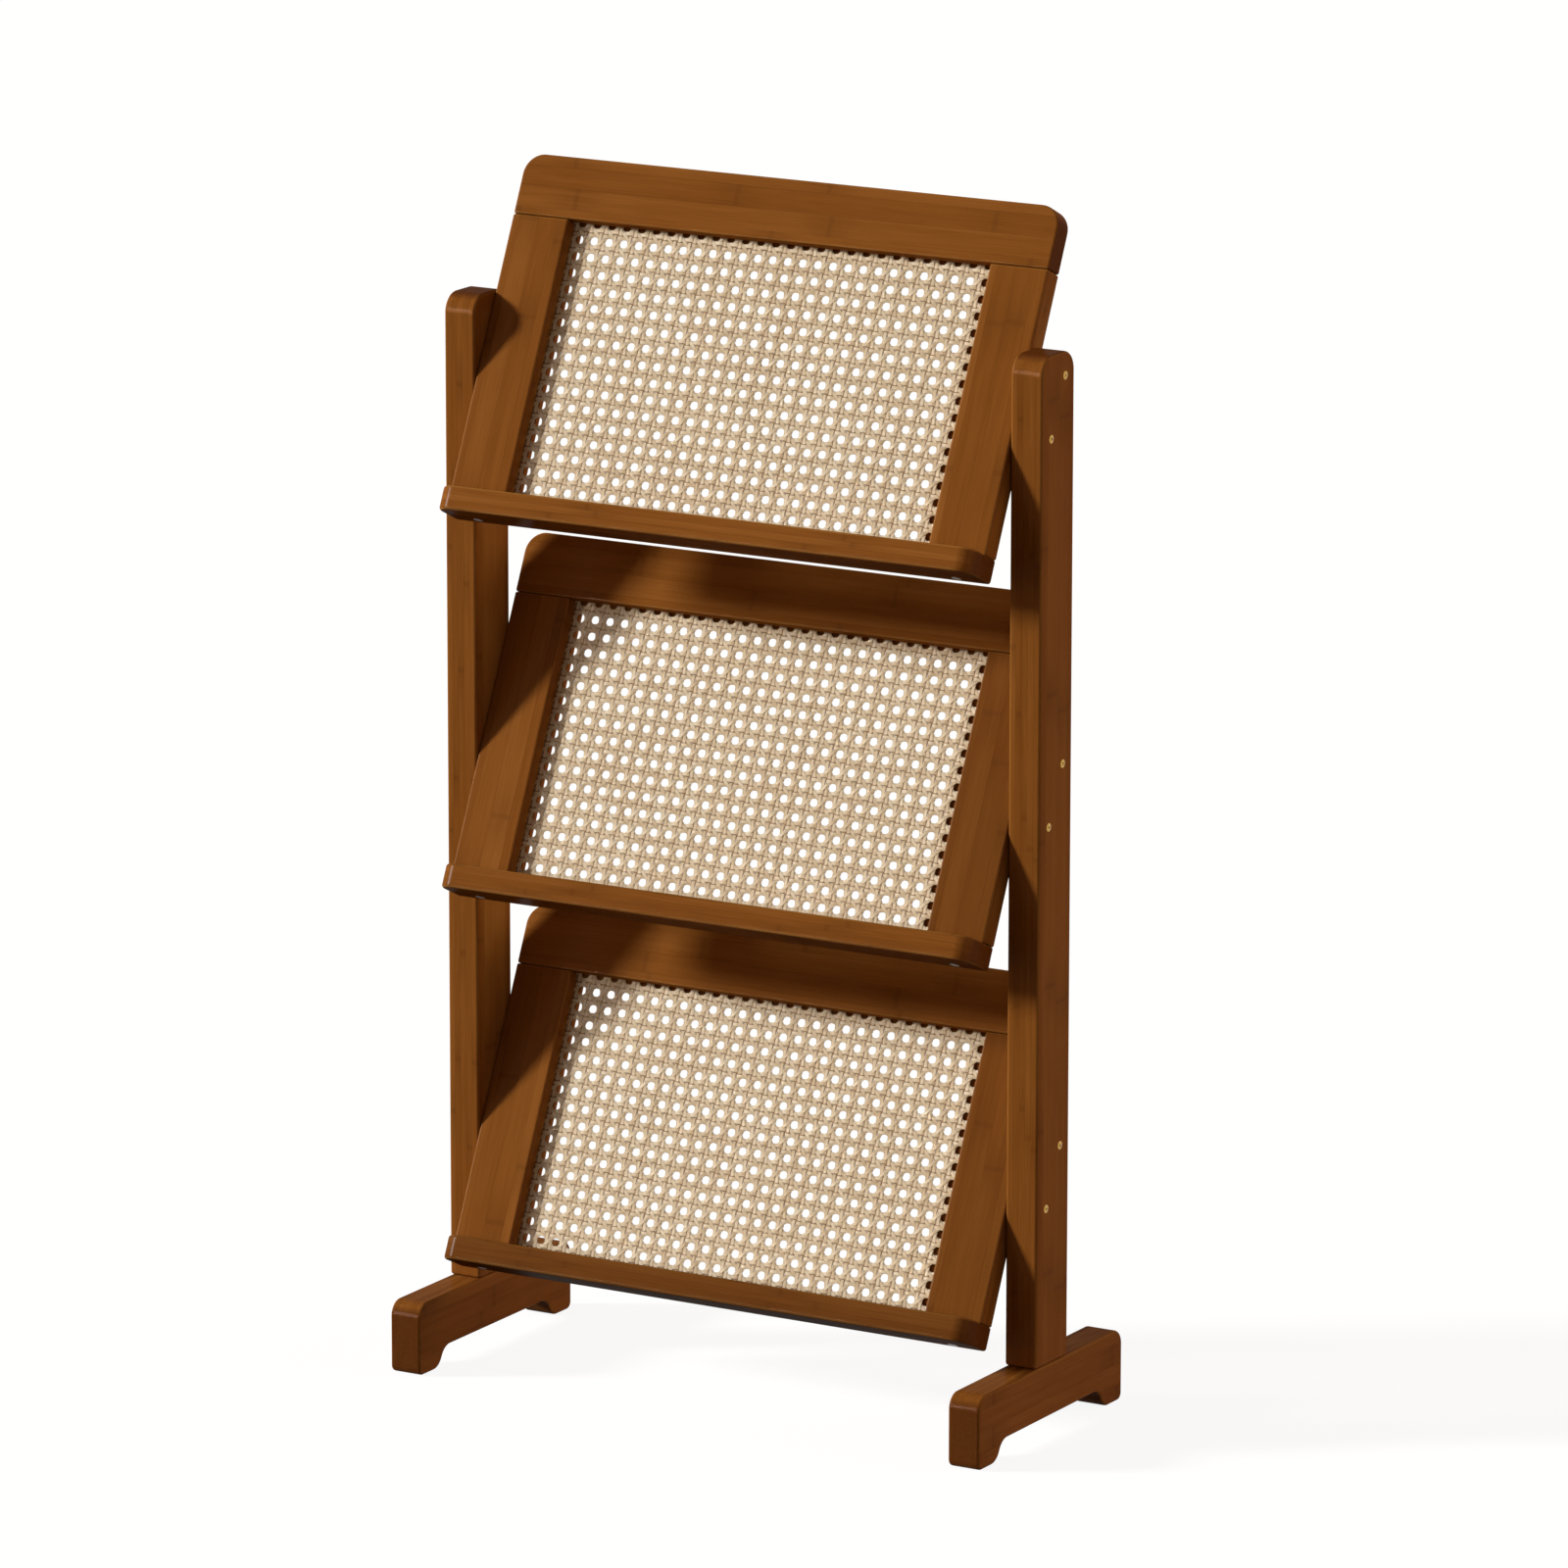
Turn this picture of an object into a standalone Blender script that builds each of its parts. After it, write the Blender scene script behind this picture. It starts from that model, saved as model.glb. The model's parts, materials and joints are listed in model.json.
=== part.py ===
"""Magazine display rack of stained bamboo.

Two posts stand on arched feet. Between them three tilted frames are screwed,
each with a top rail, two stiles, a ledge and a panel of woven cane.
Metres, +Z up, +X to the viewer's right, the front faces -Y.
The origin is on the floor, midway between the two feet.
"""

import math

import bmesh
import bpy

# Whole rack
RACK_WIDTH = 0.560
TIER_NAMES = ("lower", "middle", "upper")
TIER_PITCH = 0.317
TILT = math.radians(25)
GAP = 0.0003
OVERRUN = 0.002

# Posts
POST_WIDTH = 0.029
POST_DEPTH = 0.053
POST_ABOVE_SCREWS = 0.0196
POST_CORNER = 0.0165
POST_EASE = 0.0025

# Feet
FOOT_LENGTH = 0.240
FOOT_HEIGHT = 0.061
FOOT_PAD = 0.022
ARCH_RISE = 0.0165
ARCH_RUN = 0.026
FOOT_TOP_CORNER = 0.013
FOOT_SOLE_CORNER = 0.006

# Tilted frames
LEDGE_HEIGHT = 0.107
PANEL_LENGTH = 0.288
PANEL_THICKNESS = 0.020
RAIL_HEIGHT = 0.052
RAIL_CORNER = 0.018
STILE_WIDTH = 0.053
PANEL_EASE = 0.0018
LEDGE_THICKNESS = 0.0205
LEDGE_REACH = 0.0205
LEDGE_CORNER = 0.015
SEAT_DEPTH = 0.001

# Cane and the strips behind it
REBATE_WIDTH = 0.008
CANE_THICKNESS = 0.0020
CANE_PITCH = 0.0335
CANE_HOLE = 0.0165
CANE_MARGIN = 0.012
LEFT_BATTEN = 0.0115
RIGHT_BATTEN = 0.0200
LEVEL_BATTEN = 0.0155
BATTEN_THICKNESS = 0.0058

# Brass screws through the posts
SIDE_SCREW_HEAD = 0.0070
SIDE_SCREW_SHANK = 0.0042
SIDE_SCREW_LENGTH = 0.058
SIDE_SCREW_RISE = 0.101
SIDE_SCREW_SPACING = 0.053
SIDE_SCREW_SETBACK = 0.0125
SCREW_POINT = 0.006

# Steel screws up through each ledge
LEDGE_SCREW_HEAD = 0.0080
LEDGE_SCREW_SHANK = 0.0040
LEDGE_SCREW_LENGTH = 0.050

# Steel screws up through each foot
FOOT_SCREW_HEAD = 0.0110
FOOT_SCREW_HEAD_DEPTH = 0.006
FOOT_SCREW_SHANK = 0.0060
FOOT_SCREW_LENGTH = 0.080
FOOT_SCREW_SPACING = 0.026
FOOT_SCREW_SINK = 0.004

# Dowels between the top rail and the stiles
DOWEL_DIAMETER = 0.008
DOWEL_LENGTH = 0.040
DOWEL_CHAMFER = 0.001

# Facets
CORNER_STEPS = 4
ROUND_SIDES = 12
EASE_STEPS = 2
HOLE_SIDES = 8

# Sizes that follow from those above
PANEL_WIDTH = RACK_WIDTH - 2 * POST_WIDTH - 2 * GAP
OPENING_WIDTH = PANEL_WIDTH - 2 * STILE_WIDTH
OPENING_HEIGHT = PANEL_LENGTH - RAIL_HEIGHT
CANE_FRONT = PANEL_THICKNESS - BATTEN_THICKNESS - CANE_THICKNESS - GAP
REBATE_FRONT = CANE_FRONT - GAP
SCREW_MIDDLE = SIDE_SCREW_RISE + SIDE_SCREW_SPACING / 2
TIER_FRONT = -(SCREW_MIDDLE * math.sin(TILT) + SIDE_SCREW_SETBACK * math.cos(TILT))
TOP_TIER_HEIGHT = LEDGE_HEIGHT + (len(TIER_NAMES) - 1) * TIER_PITCH
TOP_SCREW_SLOPE = SIDE_SCREW_RISE + SIDE_SCREW_SPACING
TOP_SCREW_RISE = TOP_SCREW_SLOPE * math.cos(TILT) - SIDE_SCREW_SETBACK * math.sin(TILT)
POST_TOP = TOP_TIER_HEIGHT + TOP_SCREW_RISE + POST_ABOVE_SCREWS

QUARTER = math.pi / 2
SIDES = (("left", -1), ("right", 1))


def clear_scene():
    """Start from an empty scene."""
    for item in list(bpy.data.objects):
        bpy.data.objects.remove(item, do_unlink=True)


def finish(name, colour, roughness, metallic=0.0):
    """A material with one plain colour."""
    material = bpy.data.materials.new(name)
    material.use_nodes = True
    shader = material.node_tree.nodes["Principled BSDF"]
    shader.inputs["Base Color"].default_value = (*colour, 1)
    shader.inputs["Roughness"].default_value = roughness
    shader.inputs["Metallic"].default_value = metallic
    material.diffuse_color = (*colour, 1)
    return material


def add_object(name, mesh_shape, material, parent=None):
    """Put a finished bmesh into the scene as one object."""
    bmesh.ops.recalc_face_normals(mesh_shape, faces=mesh_shape.faces)
    mesh = bpy.data.meshes.new(name)
    mesh_shape.to_mesh(mesh)
    mesh_shape.free()
    piece = bpy.data.objects.new(name, mesh)
    bpy.context.scene.collection.objects.link(piece)
    piece.parent = parent
    if material:
        mesh.materials.append(material)
    return piece


def as_cutter(piece):
    """Hide an object that only cuts others."""
    piece.hide_render = True
    piece.display_type = "WIRE"
    return piece


def cut(piece, cutter):
    """Take the cutter's shape out of a piece."""
    boolean = piece.modifiers.new("cut_" + cutter.name, "BOOLEAN")
    boolean.object = cutter
    boolean.solver = "EXACT"


def ease_edges(piece, radius):
    """Round the long edges of a board."""
    bevel = piece.modifiers.new("eased_edges", "BEVEL")
    bevel.width = radius
    bevel.segments = EASE_STEPS
    bevel.limit_method = "ANGLE"
    bevel.angle_limit = math.radians(50)


def shade_round(piece):
    """Smooth shading that keeps real corners sharp."""
    piece.data.shade_smooth()
    piece.data.set_sharp_from_angle(angle=math.radians(40))


def arc(centre, radius, start, end, steps=CORNER_STEPS):
    """Points on an arc, both ends included."""
    angles = [start + (end - start) * i / steps for i in range(steps + 1)]
    return [(centre[0] + radius * math.cos(a), centre[1] + radius * math.sin(a)) for a in angles]


def rectangle(low, high, corners):
    """An outline with rounded corners, given from bottom left, anticlockwise."""
    places = ((low[0], low[1]), (high[0], low[1]), (high[0], high[1]), (low[0], high[1]))
    inwards = ((1, 1), (-1, 1), (-1, -1), (1, -1))
    outline = []
    for turn, (place, inward, radius) in enumerate(zip(places, inwards, corners)):
        centre = (place[0] + inward[0] * radius, place[1] + inward[1] * radius)
        start = math.pi + turn * QUARTER
        outline += arc(centre, radius, start, start + QUARTER) if radius else [place]
    return outline


def extrude_outline(outline, start, end, place):
    """A solid between two copies of an outline; place turns (a, b, c) into a point."""
    shape = bmesh.new()
    rings = [[shape.verts.new(place(a, b, c)) for a, b in outline] for c in (start, end)]
    count = len(outline)
    for i in range(count):
        j = (i + 1) % count
        shape.faces.new((rings[0][i], rings[0][j], rings[1][j], rings[1][i]))
    for ring in rings:
        shape.faces.new(ring)
    return shape


def box(low, high):
    """A plain block between two corners."""
    outline = rectangle(low[:2], high[:2], (0, 0, 0, 0))
    return extrude_outline(outline, low[2], high[2], lambda a, b, c: (a, b, c))


def turned(profile, place):
    """A solid of revolution; profile holds (height, radius) from end to end on the axis."""
    shape = bmesh.new()
    rings = []
    for height, radius in profile:
        if radius == 0:
            rings.append([shape.verts.new(place(0, 0, height))])
            continue
        turns = [math.tau * (i + 1 / 2) / ROUND_SIDES for i in range(ROUND_SIDES)]
        points = [(radius * math.cos(t), radius * math.sin(t), height) for t in turns]
        rings.append([shape.verts.new(place(*point)) for point in points])
    for upper, lower in zip(rings, rings[1:]):
        for i in range(ROUND_SIDES):
            j = (i + 1) % ROUND_SIDES
            corners = [upper[i % len(upper)], upper[j % len(upper)]]
            corners += [lower[j % len(lower)], lower[i % len(lower)]]
            shape.faces.new(list(dict.fromkeys(corners)))
    return shape


def countersunk_screw(head, shank, length):
    """Profile of a flat-headed wood screw, from the head's face to the point."""
    sink = (head - shank) / 2
    return [
        (0, 0),
        (0, head / 2),
        (-sink, shank / 2),
        (-(length - SCREW_POINT), shank / 2),
        (-length, 0),
    ]


def countersunk_hole(head, shank, length):
    """Profile of the hole that the same screw fills."""
    sink = (head - shank) / 2
    return [
        (OVERRUN, 0),
        (OVERRUN, head / 2 + GAP),
        (0, head / 2 + GAP),
        (-sink, shank / 2 + GAP),
        (-(length + GAP), shank / 2 + GAP),
        (-(length + GAP), 0),
    ]


def foot_outline():
    """The side view of a foot: pads at both ends and an arch between them."""
    half = FOOT_LENGTH / 2
    turn = 2 * math.atan2(ARCH_RISE, ARCH_RUN)
    bend = ARCH_RUN / (2 * math.sin(turn))
    pad_start = half - FOOT_PAD
    arch_end = pad_start - ARCH_RUN
    sole, top = FOOT_SOLE_CORNER, FOOT_TOP_CORNER
    rear = arc((arch_end, ARCH_RISE - bend), bend, QUARTER, QUARTER - turn)
    rear += arc((pad_start, bend), bend, -QUARTER - turn, -QUARTER)[1:]
    rear += arc((half - sole, sole), sole, -QUARTER, 0)
    rear += arc((half - top, FOOT_HEIGHT - top), top, 0, QUARTER)
    front = [(-y, z) for y, z in reversed(rear)]
    return rear + front


def build_foot(side, sign, material):
    """One foot, as wide as the post on it."""
    outer = sign * RACK_WIDTH / 2
    inner = outer - sign * POST_WIDTH
    shape = extrude_outline(foot_outline(), inner, outer, lambda a, b, c: (c, a, b))
    foot = add_object(side + "_foot", shape, material)
    ease_edges(foot, POST_EASE)
    return foot


def build_post(side, sign, material):
    """One upright, rounded at its top."""
    outer = sign * RACK_WIDTH / 2
    inner = outer - sign * POST_WIDTH
    low = (-POST_DEPTH / 2, FOOT_HEIGHT + GAP)
    high = (POST_DEPTH / 2, POST_TOP)
    outline = rectangle(low, high, (0, 0, POST_CORNER, POST_CORNER))
    shape = extrude_outline(outline, inner, outer, lambda a, b, c: (c, a, b))
    post = add_object(side + "_post", shape, material)
    ease_edges(post, POST_EASE)
    return post


def add_foot_screws(side, sign, foot, post, material):
    """Two long screws from the arch of the foot into the end of the post."""
    seat = ARCH_RISE + FOOT_SCREW_SINK
    profile = [
        (0, 0),
        (0, FOOT_SCREW_HEAD / 2),
        (FOOT_SCREW_HEAD_DEPTH, FOOT_SCREW_HEAD / 2),
        (FOOT_SCREW_HEAD_DEPTH, FOOT_SCREW_SHANK / 2),
        (FOOT_SCREW_LENGTH - SCREW_POINT, FOOT_SCREW_SHANK / 2),
        (FOOT_SCREW_LENGTH, 0),
    ]
    hole = [
        (-FOOT_SCREW_SINK - OVERRUN, 0),
        (-FOOT_SCREW_SINK - OVERRUN, FOOT_SCREW_HEAD / 2 + GAP),
        (FOOT_SCREW_HEAD_DEPTH + GAP, FOOT_SCREW_HEAD / 2 + GAP),
        (FOOT_SCREW_HEAD_DEPTH + GAP, FOOT_SCREW_SHANK / 2 + GAP),
        (FOOT_SCREW_LENGTH + GAP, FOOT_SCREW_SHANK / 2 + GAP),
        (FOOT_SCREW_LENGTH + GAP, 0),
    ]
    x = sign * (RACK_WIDTH - POST_WIDTH) / 2
    for end, direction in (("front", -1), ("rear", 1)):
        y = direction * FOOT_SCREW_SPACING / 2
        name = side + "_foot_screw_" + end
        screw = add_object(name, turned(profile, lambda a, b, c: (a, b, c)), material)
        shape = turned(hole, lambda a, b, c: (a, b, c))
        cutter = as_cutter(add_object("hole_for_" + name, shape, None))
        for item in (screw, cutter):
            item.location = (x, y, seat)
        shade_round(screw)
        cut(foot, cutter)
        cut(post, cutter)


def tier_frame(tier, number):
    """The empty that carries one tilted frame: X across, Z up the slope, -Y to the reader."""
    frame = bpy.data.objects.new(tier + "_tier", None)
    bpy.context.scene.collection.objects.link(frame)
    frame.location = (0, TIER_FRONT, LEDGE_HEIGHT + number * TIER_PITCH)
    frame.rotation_euler = (-TILT, 0, 0)
    return frame


def build_top_rail(tier, frame, material):
    """The broad rail across the top, with its upper corners rounded."""
    low = (-PANEL_WIDTH / 2, OPENING_HEIGHT)
    high = (PANEL_WIDTH / 2, PANEL_LENGTH)
    outline = rectangle(low, high, (0, 0, RAIL_CORNER, RAIL_CORNER))
    shape = extrude_outline(outline, 0, PANEL_THICKNESS, lambda a, b, c: (a, c, b))
    rail = add_object(tier + "_top_rail", shape, material, frame)
    ease_edges(rail, PANEL_EASE)
    return rail


def build_stile(tier, side, sign, frame, material):
    """One side of the tilted frame, standing on the ledge."""
    inner, outer = sorted((sign * OPENING_WIDTH / 2, sign * PANEL_WIDTH / 2))
    shape = box((inner, 0, -SEAT_DEPTH), (outer, PANEL_THICKNESS, OPENING_HEIGHT - GAP))
    stile = add_object(tier + "_" + side + "_stile", shape, material, frame)
    ease_edges(stile, PANEL_EASE)
    return stile


def build_ledge(tier, frame, material):
    """The shelf board under the stiles, with its front corners rounded.

    A shallow step along the back of its top is the seat of the stiles.
    """
    low = (-PANEL_WIDTH / 2, -LEDGE_REACH)
    high = (PANEL_WIDTH / 2, PANEL_THICKNESS)
    outline = rectangle(low, high, (LEDGE_CORNER, LEDGE_CORNER, 0, 0))
    shape = extrude_outline(outline, -GAP - LEDGE_THICKNESS, -GAP, lambda a, b, c: (a, b, c))
    ledge = add_object(tier + "_ledge", shape, material, frame)
    ease_edges(ledge, POST_EASE)
    seat_low = (low[0] - OVERRUN, -GAP, -GAP - SEAT_DEPTH)
    seat_high = (high[0] + OVERRUN, high[1] + OVERRUN, OVERRUN)
    seat = as_cutter(add_object(tier + "_stile_seat", box(seat_low, seat_high), None, frame))
    cut(ledge, seat)
    return ledge


def cut_rebate(tier, frame, boards):
    """The step routed round the back of the opening, where the cane and its strips lie."""
    half = OPENING_WIDTH / 2 + REBATE_WIDTH
    low = (-half, REBATE_FRONT, -GAP - REBATE_WIDTH)
    high = (half, PANEL_THICKNESS + OVERRUN, OPENING_HEIGHT + REBATE_WIDTH)
    cutter = as_cutter(add_object(tier + "_rebate", box(low, high), None, frame))
    for board in boards:
        cut(board, cutter)


def build_cane(tier, frame, material):
    """The woven panel. Each opening of this solid stands for about six of the real ones."""
    half = OPENING_WIDTH / 2 + REBATE_WIDTH - GAP
    low = (-half, CANE_FRONT, -REBATE_WIDTH)
    high = (half, CANE_FRONT + CANE_THICKNESS, OPENING_HEIGHT + REBATE_WIDTH - GAP)
    cane = add_object(tier + "_cane_panel", box(low, high), material, frame)
    columns = int((OPENING_WIDTH - 2 * CANE_MARGIN + CANE_PITCH - CANE_HOLE) / CANE_PITCH)
    rows = int((OPENING_HEIGHT - 2 * CANE_MARGIN + CANE_PITCH - CANE_HOLE) / CANE_PITCH)
    corner_radius = CANE_HOLE / (2 * math.cos(math.pi / HOLE_SIDES))
    first = math.pi / HOLE_SIDES
    outline = arc((0, 0), corner_radius, first, first + math.tau, HOLE_SIDES)[:-1]
    start, end = CANE_FRONT - OVERRUN, CANE_FRONT + CANE_THICKNESS + OVERRUN
    shape = extrude_outline(outline, start, end, lambda a, b, c: (a, c, b))
    cutter = as_cutter(add_object(tier + "_cane_openings", shape, None, frame))
    first_row = (OPENING_HEIGHT - (rows - 1) * CANE_PITCH) / 2
    cutter.location = (-(columns - 1) * CANE_PITCH / 2, 0, first_row)
    for count, step in ((columns, (CANE_PITCH, 0, 0)), (rows, (0, 0, CANE_PITCH))):
        copies = cutter.modifiers.new("copies", "ARRAY")
        copies.count = count
        copies.use_relative_offset = False
        copies.use_constant_offset = True
        copies.constant_offset_displace = step
    cut(cane, cutter)


def build_battens(tier, frame, material):
    """Four flat strips nailed into the rebate, which hold the cane forward."""
    half = OPENING_WIDTH / 2 + REBATE_WIDTH - GAP
    bottom = -REBATE_WIDTH
    top = OPENING_HEIGHT + REBATE_WIDTH - GAP
    front, back = PANEL_THICKNESS - BATTEN_THICKNESS, PANEL_THICKNESS
    inner_left, inner_right = LEFT_BATTEN - half, half - RIGHT_BATTEN
    low, high = bottom + LEVEL_BATTEN, top - LEVEL_BATTEN
    spans = {
        "top_batten": ((-half, high), (half, top)),
        "bottom_batten": ((-half, bottom), (half, low)),
        "left_batten": ((-half, low + GAP), (inner_left, high - GAP)),
        "right_batten": ((inner_right, low + GAP), (half, high - GAP)),
    }
    for name, (low, high) in spans.items():
        shape = box((low[0], front + GAP, low[1]), (high[0], back, high[1]))
        add_object(tier + "_" + name, shape, material, frame)


def add_side_screws(tier, side, sign, frame, post, stile, material):
    """Two brass screws through the post into the stile, one above the other."""
    sizes = (SIDE_SCREW_HEAD, SIDE_SCREW_SHANK, SIDE_SCREW_LENGTH)
    for step, level in enumerate(("low", "high")):
        rise = SIDE_SCREW_RISE + step * SIDE_SCREW_SPACING
        name = tier + "_" + side + "_screw_" + level
        shape = turned(countersunk_screw(*sizes), lambda a, b, c: (sign * c, a, b))
        screw = add_object(name, shape, material, frame)
        shape = turned(countersunk_hole(*sizes), lambda a, b, c: (sign * c, a, b))
        cutter = as_cutter(add_object("hole_for_" + name, shape, None, frame))
        for item in (screw, cutter):
            item.location = (sign * RACK_WIDTH / 2, SIDE_SCREW_SETBACK, rise)
        shade_round(screw)
        cut(post, cutter)
        cut(stile, cutter)


def add_ledge_screw(tier, side, sign, frame, ledge, stile, material):
    """One steel screw up through the ledge into the end of the stile."""
    sizes = (LEDGE_SCREW_HEAD, LEDGE_SCREW_SHANK, LEDGE_SCREW_LENGTH)
    x = sign * (PANEL_WIDTH - STILE_WIDTH) / 2
    name = tier + "_" + side + "_ledge_screw"
    shape = turned(countersunk_screw(*sizes), lambda a, b, c: (a, b, -c))
    screw = add_object(name, shape, material, frame)
    shape = turned(countersunk_hole(*sizes), lambda a, b, c: (a, b, -c))
    cutter = as_cutter(add_object("hole_for_" + name, shape, None, frame))
    for item in (screw, cutter):
        item.location = (x, PANEL_THICKNESS / 2, -GAP - LEDGE_THICKNESS)
    shade_round(screw)
    cut(ledge, cutter)
    cut(stile, cutter)


def add_dowel(tier, side, sign, frame, rail, stile, material):
    """A dowel across the seam between the stile and the top rail."""
    half, radius = DOWEL_LENGTH / 2, DOWEL_DIAMETER / 2
    profile = [
        (-half, 0),
        (-half, radius - DOWEL_CHAMFER),
        (-half + DOWEL_CHAMFER, radius),
        (half - DOWEL_CHAMFER, radius),
        (half, radius - DOWEL_CHAMFER),
        (half, 0),
    ]
    hole = [
        (-half - GAP, 0),
        (-half - GAP, radius + GAP),
        (half + GAP, radius + GAP),
        (half + GAP, 0),
    ]
    name = tier + "_" + side + "_dowel"
    dowel = add_object(name, turned(profile, lambda a, b, c: (a, b, c)), material, frame)
    shape = turned(hole, lambda a, b, c: (a, b, c))
    cutter = as_cutter(add_object("hole_for_" + name, shape, None, frame))
    for item in (dowel, cutter):
        item.location = (sign * (PANEL_WIDTH - STILE_WIDTH) / 2, PANEL_THICKNESS / 2, OPENING_HEIGHT)
    shade_round(dowel)
    cut(rail, cutter)
    cut(stile, cutter)


def build_rack():
    """Posts and feet first, then the three tilted frames between them."""
    bamboo = finish("stained_bamboo", (0.17, 0.062, 0.018), 0.42)
    cane = finish("natural_cane", (0.62, 0.50, 0.36), 0.6)
    brass = finish("brass", (0.72, 0.47, 0.16), 0.3, 1.0)
    steel = finish("zinc_plated_steel", (0.55, 0.55, 0.57), 0.35, 1.0)
    birch = finish("birch_dowel", (0.62, 0.46, 0.28), 0.6)
    posts = {}
    for side, sign in SIDES:
        foot = build_foot(side, sign, bamboo)
        posts[side] = build_post(side, sign, bamboo)
        add_foot_screws(side, sign, foot, posts[side], steel)
    for number, tier in enumerate(TIER_NAMES):
        frame = tier_frame(tier, number)
        rail = build_top_rail(tier, frame, bamboo)
        ledge = build_ledge(tier, frame, bamboo)
        stiles = {side: build_stile(tier, side, sign, frame, bamboo) for side, sign in SIDES}
        cut_rebate(tier, frame, [rail, ledge, *stiles.values()])
        build_cane(tier, frame, cane)
        build_battens(tier, frame, bamboo)
        for side, sign in SIDES:
            add_side_screws(tier, side, sign, frame, posts[side], stiles[side], brass)
            add_ledge_screw(tier, side, sign, frame, ledge, stiles[side], steel)
            add_dowel(tier, side, sign, frame, rail, stiles[side], birch)


clear_scene()
build_rack()
bpy.context.view_layer.update()
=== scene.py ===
"""Looks of the magazine display rack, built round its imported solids.

Boards of stained flat-pressed bamboo, three panels of woven cane, brass and steel screws.
Metres, +Z up, +X to the viewer's right, the front faces -Y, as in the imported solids.
"""

import itertools
import json
import math
import random

import bmesh
import bpy
import numpy as np
from mathutils import Matrix, Vector

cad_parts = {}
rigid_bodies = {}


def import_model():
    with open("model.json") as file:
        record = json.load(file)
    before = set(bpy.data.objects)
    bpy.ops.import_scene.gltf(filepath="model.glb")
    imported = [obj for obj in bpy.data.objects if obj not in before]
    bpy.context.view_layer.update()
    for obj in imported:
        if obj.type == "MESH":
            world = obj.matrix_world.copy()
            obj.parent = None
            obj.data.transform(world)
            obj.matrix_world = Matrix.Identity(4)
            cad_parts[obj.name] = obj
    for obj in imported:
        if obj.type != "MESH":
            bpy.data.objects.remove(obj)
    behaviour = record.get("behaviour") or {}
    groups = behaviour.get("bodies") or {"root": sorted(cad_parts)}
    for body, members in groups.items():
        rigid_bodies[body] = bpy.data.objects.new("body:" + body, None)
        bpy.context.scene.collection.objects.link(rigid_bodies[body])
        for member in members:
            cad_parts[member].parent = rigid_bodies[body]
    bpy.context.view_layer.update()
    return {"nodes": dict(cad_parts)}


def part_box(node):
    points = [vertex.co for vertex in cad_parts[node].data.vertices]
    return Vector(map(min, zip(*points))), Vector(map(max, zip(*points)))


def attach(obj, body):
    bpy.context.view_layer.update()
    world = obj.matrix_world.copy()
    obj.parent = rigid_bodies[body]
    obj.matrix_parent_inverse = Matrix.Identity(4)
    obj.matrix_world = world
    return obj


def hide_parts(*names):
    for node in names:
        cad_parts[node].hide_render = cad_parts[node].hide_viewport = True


for startup_item in list(bpy.data.objects):
    bpy.data.objects.remove(startup_item, do_unlink=True)
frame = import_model()

# Camera: place, turn and lens that give the photograph's view
PHOTO_PIXELS = 1600
FOCAL_PIXELS = 10607.84
SENSOR_WIDTH = 36.0
CAMERA_PLACE = (4.19147, -7.11097, 2.44343)
CAMERA_YAW = math.radians(30.352)
CAMERA_PITCH = math.radians(-13.1803)
CAMERA_ROLL = math.radians(0.063)
CAMERA_REACH = 100.0

# Tilted frames, as in the solids
TIERS = ("lower", "middle", "upper")
SIDES = (("left", -1), ("right", 1))
TIER_PITCH = 0.317
LEDGE_HEIGHT = 0.107
TILT = math.radians(25)
GAP = 0.0003
OVERRUN = 0.002
SCREW_RISE = 0.101
SCREW_SPACING = 0.053
SCREW_SETBACK = 0.0125
SCREW_MIDDLE = SCREW_RISE + SCREW_SPACING / 2
TIER_FRONT = -(SCREW_MIDDLE * math.sin(TILT) + SCREW_SETBACK * math.cos(TILT))

# Boards
POST_CORNER = 0.0165
POST_EASE = 0.0025
PANEL_EASE = 0.0018
BATTEN_EASE = 0.0006
RAIL_CORNER = 0.018
LEDGE_CORNER = 0.015
SEAT_DEPTH = 0.001
REBATE_WIDTH = 0.008
REBATE_FRONT = 0.0116
FOOT_PAD = 0.022
ARCH_RISE = 0.0165
ARCH_RUN = 0.026
FOOT_TOP_CORNER = 0.013
FOOT_SOLE_CORNER = 0.006

# Painted shade: share by which some boards of the middle and lower tiers are darkened, as if less light
# reached them low on the rack
BOARD_PAINTED_SHADE = {
    "middle_right_stile": 0.5,
    "lower_right_stile": 0.4,
    "middle_ledge": 0.1,
    "lower_ledge": 0.7,
}

# Battens and the order of their axes: along, across and through the grain
BATTENS = (("top", (0, 2, 1)), ("bottom", (0, 2, 1)), ("left", (2, 0, 1)), ("right", (2, 0, 1)))

# Wood grain. Noise is given as repeats per metre along and across the grain, and detail:
# streaks about 330 by 7 mm, clouds 110 by 36 mm, fibres 45 by 0.9 mm
STRIP_WIDTH = 0.018
STRIP_LAYER = 0.0055
KNUCKLE_SPACING = 0.240
STREAKS = (3.0, 150.0, 3.0)
CLOUDS = (9.0, 28.0, 2.0)
FIBRES = (22.0, 1100.0, 2.0)
VESSELS_PER_METRE = 900.0
BOARD_SHIFT = 1.37
WOOD_RELIEF = 0.00015
FINE_RELIEF = 0.0001
METAL_RELIEF = 0.00002
LAYER_START = 40.5
LAYER_STAGGER = 0.37
END_FACE_START = 0.7
END_FACE_RANGE = 0.25

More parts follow.
